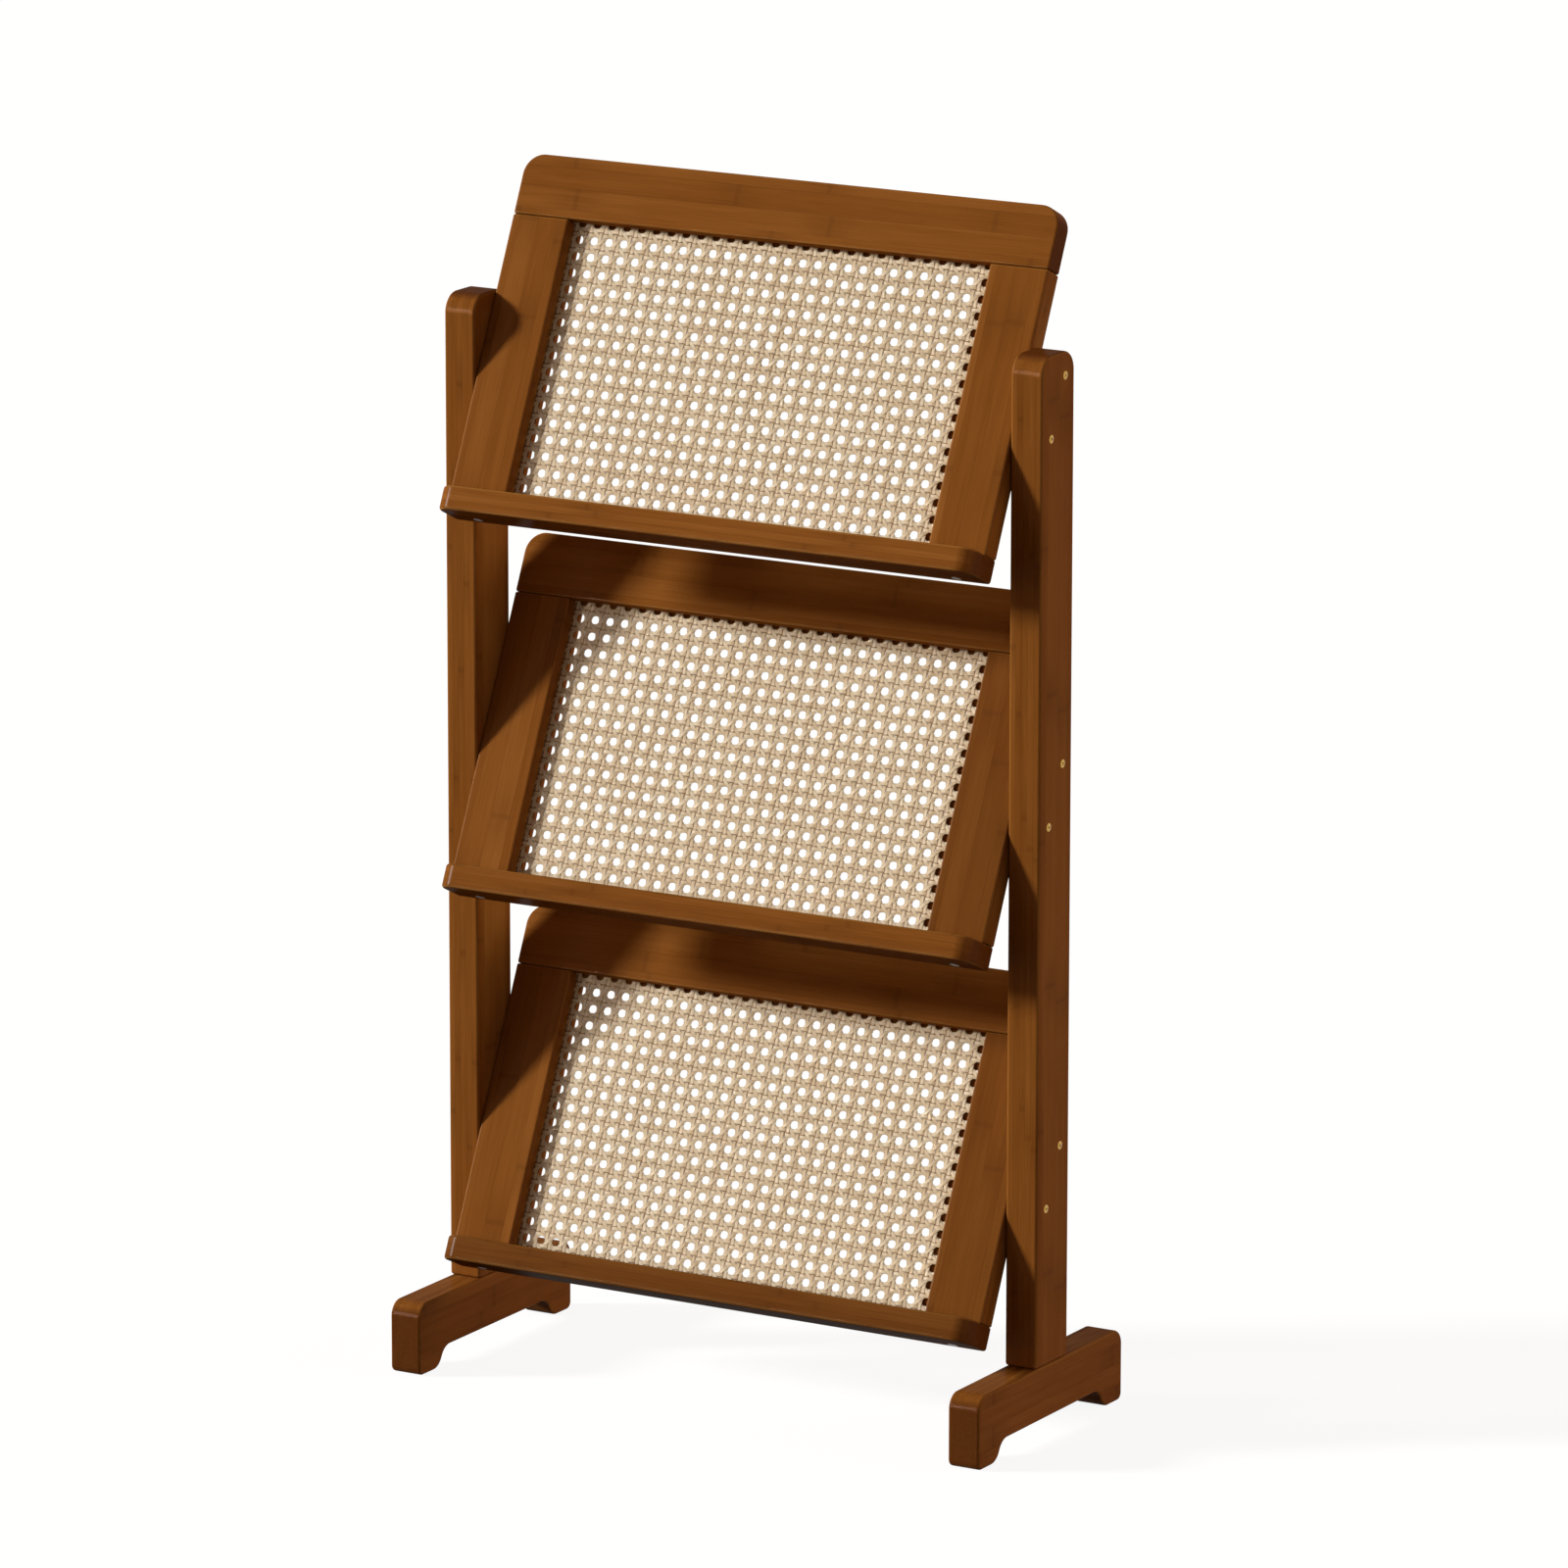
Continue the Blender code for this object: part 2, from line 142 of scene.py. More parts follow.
# Fasteners
SIDE_SCREW = {"head": 0.0070, "shank": 0.0042, "length": 0.058, "dome": 0.0005}
LEDGE_SCREW = {"head": 0.0080, "shank": 0.0040, "length": 0.050, "dome": 0.0}
FOOT_SCREW = {"head": 0.0110, "shank": 0.0060, "length": 0.080, "depth": 0.006}
FOOT_SCREW_SPACING = 0.026
FOOT_SCREW_SINK = 0.004
HEX_SOCKET = {"flats": 0.005, "depth": 0.003}
HEX_SIDES = 6
HEX_CHAMFER_SHARE = 1 / 12
CROSS_SHARES = {"reach": 0.58, "width": 0.15, "depth": 0.28, "foot": 0.45}
HEAD_RIM_SHARE = 0.04
DOME_STEPS = 5
SCREW_POINT = 0.006
DOWEL_DIAMETER = 0.008
DOWEL_LENGTH = 0.040
PIN = {"head": 0.0022, "shank": 0.0012, "length": 0.013, "proud": 0.0003}
PIN_TOP_SHARE = 0.7
PIN_SIDES = 12
PIN_SPACING = 0.095
FASTENER_SEED = 5
METAL_PATCHES_PER_METRE = 900.0
BRASS_MARKS = 0.00025
ZINC_MARKS = 0.0003
DOWEL_GRAIN = (900.0, 900.0, 30.0)

# Woven cane: openings on a square lattice, pairs of upright and level strands, two diagonals
CANE_PITCH = 0.0141
CANE_LEVEL = 0.00355
CANE_ROW = 0.0106
CANE_MIDDLE = 0.01305
PAIR_OFFSET = 0.00188
PAIR_WIDTH = 0.0037
DIAGONAL_WIDTH = 0.0029
STRAND_DOME_SHARE = 0.32
PAIR_SWING = 0.00065
DIAGONAL_SWING = 0.00074
STRAND_STEP = 0.0034
STRAND_WAVER = 0.00022
WAVERS_PER_METRE = 55.0
STRAND_SIDES = 5

# Cane surface. Noise is repeats per metre along a strand and per strand width, and detail:
# fibres about 17 mm long, patches 70 mm and specks 2.4 mm
CANE_FIBRES = (60.0, 9.0, 3.0)
CANE_PATCHES = (14.0, 0.5, 2.0)
CANE_SPECKS = (420.0, 5.0, 1.0)
CANE_STRAND_SHIFT = 91.0

# Facets
CORNER_STEPS = 12
EASE_STEPS = 4
ROUND_SIDES = 32
QUARTER = math.pi / 2
BEVEL_ANGLE = math.radians(50)
CREASE_ANGLE = math.radians(35)
STRAND_CREASE_ANGLE = math.radians(55)

# Light: a broad lamp low on the viewer's left and a warm dim room, brighter near the floor,
# to the left, and in one soft patch at the right; polish also mirrors a bright window
LAMP_AZIMUTH = math.radians(59)
LAMP_ELEVATION = math.radians(21)
LAMP_STRENGTH = 3.6
LAMP_COLOUR = "#F9FFFF"
LAMP_SPREAD = math.radians(9)
ROOM_COLOUR = "#FFEBDC"
ROOM_LOW_STRENGTH = 0.62
ROOM_HIGH_STRENGTH = 0.05
ROOM_FALL = 2.0
ROOM_SLANT = -0.45
ROOM_SIDE_STRENGTH = 3.4
ROOM_SIDE = (0.87, 0.46, 0.18)
ROOM_SIDE_FOCUS = 13.0
WINDOW_STRENGTH = 45.0
WINDOW_REACH = math.radians(11)
WINDOW_CORE = WINDOW_REACH / 3
WINDOW_AZIMUTH = math.radians(33)
WINDOW_ELEVATION = math.radians(10)
FLOOR_GLOW = 0.90
FLOOR_COLOUR = "#76746F"
FLOOR_BOUNCE_COLOUR = "#3E3C39"
FLOOR_SIZE = 120.0
FLOOR_DROP = 0.0002


# Colours and nodes

MATH = "ShaderNodeMath"
VECTOR_MATH = "ShaderNodeVectorMath"
COMBINE = "ShaderNodeCombineXYZ"
SEPARATE = "ShaderNodeSeparateXYZ"
RANGE = "ShaderNodeMapRange"
MIX = "ShaderNodeMix"
RAMP = "ShaderNodeValToRGB"
NOISE = "ShaderNodeTexNoise"
MAPPING = "ShaderNodeMapping"
BUMP = "ShaderNodeBump"
STORED = "ShaderNodeAttribute"
STORED_ON_POINTS = "GeometryNodeInputNamedAttribute"
STORE = "GeometryNodeStoreNamedAttribute"
SMOOTH = "SMOOTHSTEP"


def colour(code):
    """Linear RGBA of a sRGB hex colour."""
    channels = [int(code[i : i + 2], 16) / 255 for i in (1, 3, 5)]
    linear = [c / 12.92 if c <= 0.04045 else ((c + 0.055) / 1.055) ** 2.4 for c in channels]
    return (*linear, 1.0)


def fill(tree, node, inputs):
    """Fill a node's sockets with values, outputs, or the first outputs of nodes.

    inputs gives them in order, or by the socket's name or number.
    """
    given = inputs if isinstance(inputs, dict) else dict(enumerate(inputs))
    for key, value in given.items():
        if isinstance(value, bpy.types.Node):
            value = value.outputs[0]
        if isinstance(value, bpy.types.NodeSocket):
            tree.links.new(value, node.inputs[key])
        else:
            node.inputs[key].default_value = value


def add(tree, kind, inputs=(), stops=(), **settings):
    """Add a node with its settings and links; stops lays sRGB colours along a ramp."""
    made = tree.nodes.new(kind)
    for name, value in settings.items():
        setattr(made, name, value)
    fill(tree, made, inputs)
    for number, (place, code) in enumerate(stops):
        elements = made.color_ramp.elements
        element = elements[number] if number < 2 else elements.new(place)
        element.position = place
        element.color = colour(code)
    return made


def new_material(name):
    """A material with its node tree and its Principled shader."""
    material = bpy.data.materials.new(name)
    material.use_nodes = True
    return material, material.node_tree, material.node_tree.nodes["Principled BSDF"]


def stained_bamboo():
    """Flat-pressed bamboo boards, sanded, brown-stained and given satin lacquer.

    Strips 18 mm wide in layers of 5.5 mm, each a little lighter or darker, with fine
    lengthwise streaks and a faint knuckle about every 240 mm. The eased edges show a slightly
    lighter line, partly thinner stain and partly a painted highlight. End grain is darker, and a
    few boards of the middle and lower tiers carry painted shade, as if less light reached them.
    The lacquer is thin: a soft sheen and no hard highlight.
    """
    material, tree, shader = new_material("stained_bamboo_satin")
    place = add(tree, STORED, attribute_name="grain").outputs["Vector"]
    names = ("board_number", "eased_edge", "end_grain", "painted_board_shade")
    stored = [add(tree, STORED, attribute_name=name).outputs["Fac"] for name in names]
    board, edge, end, painted_board_shade = stored
    shift = add(tree, MATH, (board, BOARD_SHIFT), operation="MULTIPLY")
    shifted = add(tree, VECTOR_MATH, (place, add(tree, COMBINE, (shift,))))
    along, across, through = add(tree, SEPARATE, (shifted,)).outputs

    # Which strip of which layer a point is in
    layers = add(tree, MATH, (through, 1 / STRIP_LAYER, LAYER_START), operation="MULTIPLY_ADD")
    layer = add(tree, MATH, (layers,), operation="FLOOR")
    stagger = add(tree, MATH, (layer, LAYER_STAGGER), operation="MULTIPLY")
    strips = add(tree, MATH, (across, 1 / STRIP_WIDTH, stagger), operation="MULTIPLY_ADD")
    strip = add(tree, MATH, (strips,), operation="FLOOR")
    which = add(tree, MATH, (board, 7.0), operation="MULTIPLY")
    which = add(tree, COMBINE, (strip, layer, which))
    chance = add(tree, "ShaderNodeTexWhiteNoise", {"Vector": which}).outputs["Color"]
    tones = add(tree, "ShaderNodeSeparateColor", (chance,)).outputs

    def lengthwise(along_scale, across_scale, detail):
        """Noise drawn out along the grain."""
        scale = (along_scale, across_scale, across_scale)
        stretch = add(tree, MAPPING, {"Vector": shifted, "Scale": scale})
        sizes = {"Vector": stretch, "Scale": 1.0, "Detail": detail, "Roughness": 0.55}
        return add(tree, NOISE, sizes)

    streaks = lengthwise(*STREAKS)
    clouds = lengthwise(*CLOUDS)
    fibres = lengthwise(*FIBRES)

    # Knuckles: a narrow band across each strip, at its own place
    walk = add(tree, MATH, (tones[0], 9.0), operation="MULTIPLY")
    walk = add(tree, MATH, (along, 1 / KNUCKLE_SPACING, walk), operation="MULTIPLY_ADD")
    walk = add(tree, MATH, (streaks, 0.012, walk), operation="MULTIPLY_ADD")
    away = add(tree, MATH, (walk, 0.5), operation="PINGPONG")
    knuckle = add(tree, RANGE, (away, 0.004, 0.014, 1.0, 0.0), interpolation_type=SMOOTH)
    halo = add(tree, RANGE, (away, 0.0, 0.16, 0.35, 0.0), interpolation_type=SMOOTH)
    marks = add(tree, MATH, (knuckle, 0.30, halo), operation="MULTIPLY_ADD")

    # Glue lines between strips and between layers
    away = add(tree, MATH, (strips, 0.5), operation="PINGPONG")
    between_strips = add(tree, RANGE, (away, 0.004, 0.016, 1.0, 0.0), interpolation_type=SMOOTH)
    away = add(tree, MATH, (layers, 0.5), operation="PINGPONG")
    between_layers = add(tree, RANGE, (away, 0.012, 0.05, 1.0, 0.0), interpolation_type=SMOOTH)
    line = add(tree, MATH, (between_strips, between_layers), operation="MAXIMUM")

    # Tone of the stained wood
    tone = add(tree, MATH, (streaks, 0.34), operation="MULTIPLY")
    for layer_of_tone, share in ((clouds, 0.14), (fibres, 0.34), (tones[1], 0.18)):
        tone = add(tree, MATH, (layer_of_tone, share, tone), operation="MULTIPLY_ADD")
    wood = add(tree, RAMP, (tone,), ((0.30, "#7A4415"), (0.70, "#995D28"), (0.50, "#8A501D")))
    # Eased edges a little lighter: partly thinner stain, partly a painted highlight
    edge_wear_and_highlight = add(tree, RANGE, (clouds, 0.3, 0.6, 0.25, 0.6), interpolation_type=SMOOTH)
    for place, share, code in ((edge, edge_wear_and_highlight, "#B27A38"), (line, 0.30, "#4A240A"), (marks, 0.6, "#5A300E")):
        cover = add(tree, MATH, (place, share), operation="MULTIPLY")
        wood = add(tree, MIX, {0: cover, 6: wood, 7: colour(code)}, data_type="RGBA").outputs[2]

    # Painted shade: some boards of the middle and lower tiers darkened, as if less light reached them
    colours = {0: painted_board_shade, 6: wood, 7: colour("#BCB9BC")}
    wood = add(tree, MIX, colours, data_type="RGBA", blend_type="MULTIPLY").outputs[2]

    # End grain: darker, with the dots of the bamboo's vessels
    scale = (1.0, VESSELS_PER_METRE, VESSELS_PER_METRE)
    dots = add(tree, MAPPING, {"Vector": shifted, "Scale": scale})
    dots = add(tree, "ShaderNodeTexVoronoi", {"Vector": dots, "Scale": 1.0}).outputs["Distance"]
    dots = add(tree, RANGE, (dots, 0.12, 0.42), interpolation_type=SMOOTH)
    colours = {0: dots, 6: colour("#3A1A08"), 7: colour("#5E3010")}
    dotted = add(tree, MIX, colours, data_type="RGBA").outputs[2]
    cover = add(tree, MATH, (end, 0.85), operation="MULTIPLY")
    wood = add(tree, MIX, {0: cover, 6: wood, 7: dotted}, data_type="RGBA").outputs[2]

    rough = add(tree, RANGE, (streaks, 0.25, 0.75, 0.34, 0.46), interpolation_type=SMOOTH)
    rough = add(tree, MATH, (line, 0.12, rough), operation="MULTIPLY_ADD")
    height = add(tree, MATH, (fibres, 0.5), operation="MULTIPLY")
    for relief, share in ((streaks, 0.5), (line, -0.8), (knuckle, 0.5)):
        height = add(tree, MATH, (relief, share, height), operation="MULTIPLY_ADD")
    bump = add(tree, BUMP, {"Strength": 0.35, "Distance": WOOD_RELIEF, "Height": height})
    fill(tree, shader, {"Base Color": wood, "Roughness": rough, "Normal": bump})
    fill(tree, shader, {"Specular IOR Level": 0.0, "Coat Weight": 0.05, "Coat Roughness": 0.22})
    return material


def natural_cane():
    """Peeled rattan, woven wet and left unvarnished: pale straw, a soft gloss along each strand.

    Fine lengthwise fibres, strands that differ in tone, and brown specks. Painted shade browns the
    sides of a strand, the slot between the two of a pair and the dips under other strands.
    """
    material, tree, shader = new_material("natural_cane")
    names = ("along", "across", "strand", "lift", "inner")
    stored = [add(tree, STORED, attribute_name=name).outputs["Fac"] for name in names]
    along, across, strand, lift, inner = stored
    place = add(tree, COMBINE, (along, across, strand))

    def lengthwise(along_scale, across_scale, detail):
        """Noise drawn out along a strand, different on each strand."""
        scale = (along_scale, across_scale, CANE_STRAND_SHIFT)
        stretch = add(tree, MAPPING, {"Vector": place, "Scale": scale})
        sizes = {"Vector": stretch, "Scale": 1.0, "Detail": detail, "Roughness": 0.6}
        return add(tree, NOISE, sizes)

    fibres = lengthwise(*CANE_FIBRES)
    tone = add(tree, MATH, (fibres, 0.35), operation="MULTIPLY")
    tone = add(tree, MATH, (lengthwise(*CANE_PATCHES), 0.45, tone), operation="MULTIPLY_ADD")
    tone = add(tree, MATH, (strand, 0.20, tone), operation="MULTIPLY_ADD")
    cane = add(tree, RAMP, (tone,), ((0.25, "#B8956A"), (0.75, "#E8D3B4"), (0.50, "#D4B892")))
    specks = (lengthwise(*CANE_SPECKS), 0.68, 0.78, 0.0, 0.45)
    specks = add(tree, RANGE, specks, interpolation_type=SMOOTH)
    cane = add(tree, MIX, {0: specks, 6: cane, 7: colour("#7E5A30")}, data_type="RGBA").outputs[2]

    # Painted shade: brown on the sides of each strand, in the slot between twins and in the dips under
    # other strands
    painted_rim_shade = add(tree, MATH, (across,), operation="ABSOLUTE")
    painted_rim_shade = add(tree, RANGE, (painted_rim_shade, 0.38, 0.5, 0.0, 0.6), interpolation_type=SMOOTH)
    painted_slot_shade = add(tree, MATH, (across, inner), operation="MULTIPLY")
    painted_slot_shade = add(tree, RANGE, (painted_slot_shade, 0.18, 0.36), interpolation_type=SMOOTH)
    painted_dip_shade = add(tree, RANGE, (lift, 0.0, -1.0, 0.0, 0.4), interpolation_type=SMOOTH)
    painted_weave_shade = add(tree, MATH, (painted_rim_shade, painted_slot_shade), operation="MAXIMUM")
    painted_weave_shade = add(tree, MATH, (painted_weave_shade, painted_dip_shade), operation="MAXIMUM")
    cane = add(tree, MIX, {0: painted_weave_shade, 6: cane, 7: colour("#80592B")}, data_type="RGBA").outputs[2]
    rough = add(tree, RANGE, (fibres, 0.3, 0.7, 0.42, 0.58), interpolation_type=SMOOTH)
    bump = add(tree, BUMP, {"Strength": 0.3, "Distance": FINE_RELIEF, "Height": fibres})
    fill(tree, shader, {"Base Color": cane, "Roughness": rough, "Normal": bump})
    fill(tree, shader, {"Specular IOR Level": 0.35})
    return material


def turned_metal(name, dull, bright, roughness, spacing):
    """A metal fastener: fine turning marks and patches of a slightly duller surface."""
    material, tree, shader = new_material(name)
    place = add(tree, "ShaderNodeTexCoord").outputs["Object"]
    patches = add(tree, NOISE, {"Vector": place, "Scale": METAL_PATCHES_PER_METRE, "Detail": 2.0})
    marks = add(tree, NOISE, {"Vector": place, "Scale": 1 / spacing, "Detail": 3.0})
    tone = add(tree, MATH, (patches, 0.6), operation="MULTIPLY")
    tone = add(tree, MATH, (marks, 0.4, tone), operation="MULTIPLY_ADD")
    metal = add(tree, RAMP, (tone,), ((0.35, dull), (0.65, bright)))
    limits = (tone, 0.35, 0.65, roughness + 0.1, roughness - 0.05)
    rough = add(tree, RANGE, limits, interpolation_type=SMOOTH)
    bump = add(tree, BUMP, {"Strength": 0.2, "Distance": METAL_RELIEF, "Height": marks})
    fill(tree, shader, {"Base Color": metal, "Metallic": 1.0, "Roughness": rough, "Normal": bump})
    return material


def brass():
    """Solid brass screws, turned and lightly tarnished: warm gold with soft reflections."""
    return turned_metal("turned_brass", "#A67C34", "#CFA755", 0.30, BRASS_MARKS)


def zinc_plated_steel():
    """Zinc plating on steel, gone dull: cool grey, slightly cloudy."""
    return turned_metal("zinc_plated_steel", "#6F7377", "#A3A6A8", 0.42, ZINC_MARKS)


def birch_dowel():
    """Raw turned birch: pale and dry, with fine lengthwise grain."""
    material, tree, shader = new_material("birch_dowel")
    place = add(tree, "ShaderNodeTexCoord").outputs["Object"]
    stretch = add(tree, MAPPING, {"Vector": place, "Scale": DOWEL_GRAIN})
    grain = add(tree, NOISE, {"Vector": stretch, "Scale": 1.0, "Detail": 3.0})
    wood = add(tree, RAMP, (grain,), ((0.3, "#B9935F"), (0.7, "#DCC193")))
    bump = add(tree, BUMP, {"Strength": 0.3, "Distance": FINE_RELIEF, "Height": grain})
    fill(tree, shader, {"Base Color": wood, "Normal": bump, "Roughness": 0.7})
    return material


# Meshes


def arc(centre, radius, start, end, steps=CORNER_STEPS):
    """Points on an arc, both ends included."""
    angles = [start + (end - start) * i / steps for i in range(steps + 1)]
    return [(centre[0] + radius * math.cos(a), centre[1] + radius * math.sin(a)) for a in angles]


def rectangle(low, high, corners=(0, 0, 0, 0)):
    """An outline with rounded corners, given from bottom left, anticlockwise."""
    places = ((low[0], low[1]), (high[0], low[1]), (high[0], high[1]), (low[0], high[1]))
    inwards = ((1, 1), (-1, 1), (-1, -1), (1, -1))
    outline = []
    for turn, (place, inward, radius) in enumerate(zip(places, inwards, corners)):
        centre = (place[0] + inward[0] * radius, place[1] + inward[1] * radius)
        start = math.pi + turn * QUARTER
        outline += arc(centre, radius, start, start + QUARTER) if radius else [place]
    return outline


def foot_outline(length, height):
    """The side view of a foot: pads at both ends and an arch between them."""
    half = length / 2
    turn = 2 * math.atan2(ARCH_RISE, ARCH_RUN)
    bend = ARCH_RUN / (2 * math.sin(turn))
    pad_start = half - FOOT_PAD
    arch_end = pad_start - ARCH_RUN
    sole, top = FOOT_SOLE_CORNER, FOOT_TOP_CORNER
    rear = arc((arch_end, ARCH_RISE - bend), bend, QUARTER, QUARTER - turn)
    rear += arc((pad_start, bend), bend, -QUARTER - turn, -QUARTER)[1:]
    rear += arc((half - sole, sole), sole, -QUARTER, 0)
    rear += arc((half - top, height - top), top, 0, QUARTER)
    return rear + [(-y, z) for y, z in reversed(rear)]


def as_drawn(a, b, c):
    """A point whose outline lies flat and is drawn upwards."""
    return (a, b, c)


def extruded(outline, start, end, place, taper=1.0):
    """A solid between two copies of an outline; place turns (a, b, c) into a point."""
    shape = bmesh.new()
    rings = []
    for share, level in ((1.0, start), (taper, end)):
        rings.append([shape.verts.new(place(a * share, b * share, level)) for a, b in outline])
    count = len(outline)
    for i in range(count):
        j = (i + 1) % count
        shape.faces.new((rings[0][i], rings[0][j], rings[1][j], rings[1][i]))
    for ring in rings:
        shape.faces.new(ring)
    return shape


def turned(profile, place, sides=ROUND_SIDES):
    """A solid of revolution; profile holds (height, radius) from end to end on the axis."""
    shape = bmesh.new()
    rings = []
    for height, radius in profile:
        if radius == 0:
            rings.append([shape.verts.new(place(0, 0, height))])
            continue
        turns = [math.tau * (i + 1 / 2) / sides for i in range(sides)]
        points = [(radius * math.cos(t), radius * math.sin(t), height) for t in turns]
        rings.append([shape.verts.new(place(*point)) for point in points])
    for upper, lower in zip(rings, rings[1:]):
        for i in range(sides):
            j = (i + 1) % sides
            corners = [upper[i % len(upper)], upper[j % len(upper)]]
            corners += [lower[j % len(lower)], lower[i % len(lower)]]
            shape.faces.new(list(dict.fromkeys(corners)))
    return shape


def put(name, shape, material=None):
    """A bmesh as an object at the origin, smooth, with its faces pointing out."""
    bmesh.ops.recalc_face_normals(shape, faces=shape.faces)
    mesh = bpy.data.meshes.new(name)
    shape.to_mesh(mesh)
    shape.free()
    mesh.shade_smooth()
    piece = bpy.data.objects.new(name, mesh)
    bpy.context.scene.collection.objects.link(piece)
    if material:
        mesh.materials.append(material)
    return piece


def apply_modifiers(piece):
    """Replace a piece's mesh by what its modifiers make of it."""
    graph = bpy.context.evaluated_depsgraph_get()
    mesh = bpy.data.meshes.new_from_object(piece.evaluated_get(graph), depsgraph=graph)
    piece.modifiers.clear()
    piece.data = mesh


def cut(piece, cutters):
    """Take the cutters' shapes out of a piece."""
    for cutter in cutters:
        boolean = piece.modifiers.new("cut_" + cutter.name, "BOOLEAN")
        boolean.object = cutter
        boolean.solver = "EXACT"


def shade(piece):
    """Smooth shading with crisp real corners, and flat faces that stay flat to the light."""
    piece.data.shade_smooth()
    piece.data.set_sharp_from_angle(angle=CREASE_ANGLE)
    weighting = piece.modifiers.new("even_shading", "WEIGHTED_NORMAL")
    weighting.keep_sharp = True
    apply_modifiers(piece)


def settle(piece, nodes):
    """Put a finished piece in its body and hide the solids it stands for."""
    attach(piece, "root")
    if nodes:
        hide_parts(*nodes)


def hole(name, place, turn, profile):
    """A cutter turned from a profile, in the boards' own axes."""
    spot = Matrix.Translation(place) @ turn
    return put("hole_" + name, turned(profile, lambda a, b, c: spot @ Vector((a, b, c))))


def countersunk(screw):
    """Profile of the hole of a countersunk screw whose head faces +Z."""
    head, shank, length = screw["head"], screw["shank"], screw["length"]
    return [
        (OVERRUN, 0),
        (OVERRUN, head / 2 + GAP),
        (0, head / 2 + GAP),
        (-(head - shank) / 2, shank / 2 + GAP),
        (-(length + GAP), shank / 2 + GAP),
        (-(length + GAP), 0),
    ]


# Boards

board_numbers = itertools.count(1)


def mark_grain(mesh, grain, form_axis, painted_board_shade):
    """Store where each point lies in its board, how near an edge or end it is, and its painted shade."""
    count = len(mesh.vertices)
    places = np.empty(count * 3, np.float32)
    normals = np.empty(count * 3, np.float32)
    mesh.vertices.foreach_get("co", places)
    mesh.vertex_normals.foreach_get("vector", normals)
    places = places.reshape(-1, 3)
    normals = np.abs(normals.reshape(-1, 3))
    centre = (places.min(0) + places.max(0)) / 2
    if form_axis is None:
        flatness = normals.max(1)
    else:
        level = normals[:, form_axis]
        flatness = np.maximum(level, np.sqrt(np.clip(1 - level**2, 0, 1)))
    edge = np.clip((1 - flatness) / (1 - math.sqrt(0.5)), 0, 1)
    ends = np.clip((normals[:, grain[0]] - END_FACE_START) / END_FACE_RANGE, 0, 1)
    number = np.full(count, next(board_numbers), np.float32)
    painted_board_shades = np.full(count, painted_board_shade, np.float32)
    mesh.attributes.new("grain", "FLOAT_VECTOR", "POINT").data.foreach_set(
        "vector", (places - centre)[:, list(grain)].astype(np.float32).ravel()
    )
    fields = {"board_number": number, "eased_edge": edge, "end_grain": ends, "painted_board_shade": painted_board_shades}
    for name, values in fields.items():
        layer = mesh.attributes.new(name, "FLOAT", "POINT")
        layer.data.foreach_set("value", values.astype(np.float32))


def board(node, suffix, shape, material, ease, grain, turn, cutters=(), form_axis=None):
    """One board, cut, eased and marked with its grain, that stands for a CAD node."""
    piece = put(node + suffix, shape, material)
    bevel = piece.modifiers.new("eased_edges", "BEVEL")
    bevel.width = ease
    bevel.segments = EASE_STEPS
    bevel.limit_method = "ANGLE"
    bevel.angle_limit = BEVEL_ANGLE
    cut(piece, cutters)
    apply_modifiers(piece)
    # Painted shade of some boards low on the rack, carried as an attribute
    mark_grain(piece.data, grain, form_axis, BOARD_PAINTED_SHADE.get(node, 0.0))
    piece.data.transform(turn)
    shade(piece)
    settle(piece, [node])
    return piece


def local_box(node, turn):
    """Lowest and highest corner of a CAD node along the axes of turn."""
    mesh = frame["nodes"][node].data
    places = np.empty(len(mesh.vertices) * 3, np.float32)
    mesh.vertices.foreach_get("co", places)
    back = np.array(turn.inverted())
    places = places.reshape(-1, 3) @ back[:3, :3].T + back[:3, 3]
    return places.min(0).tolist(), places.max(0).tolist()


def tier_turn(number):
    """Where a tilted frame stands: X across, Z up the slope, -Y to the viewer."""
    place = (0, TIER_FRONT, LEDGE_HEIGHT + number * TIER_PITCH)
    return Matrix.Translation(place) @ Matrix.Rotation(-TILT, 4, "X")


OUTWARD = {sign: Matrix.Rotation(sign * QUARTER, 4, "Y") for side, sign in SIDES}
DOWNWARD = Matrix.Rotation(math.pi, 4, "X")
UPRIGHT = Matrix()


def side_screw_spots(sign):
    """Where the brass screws of one side sit: (tier number, place in that tier's axes)."""
    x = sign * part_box("right_post")[1][0]
    rises = (SCREW_RISE, SCREW_RISE + SCREW_SPACING)
    return [(number, (x, SCREW_SETBACK, rise)) for number in range(len(TIERS)) for rise in rises]


def foot_screw_spots(sign):
    """Where the long screws under one foot sit."""
    low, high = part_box("right_post")
    x = sign * (low[0] + high[0]) / 2
    seat = ARCH_RISE + FOOT_SCREW_SINK
    return [(x, end * FOOT_SCREW_SPACING / 2, seat) for end in (-1, 1)]


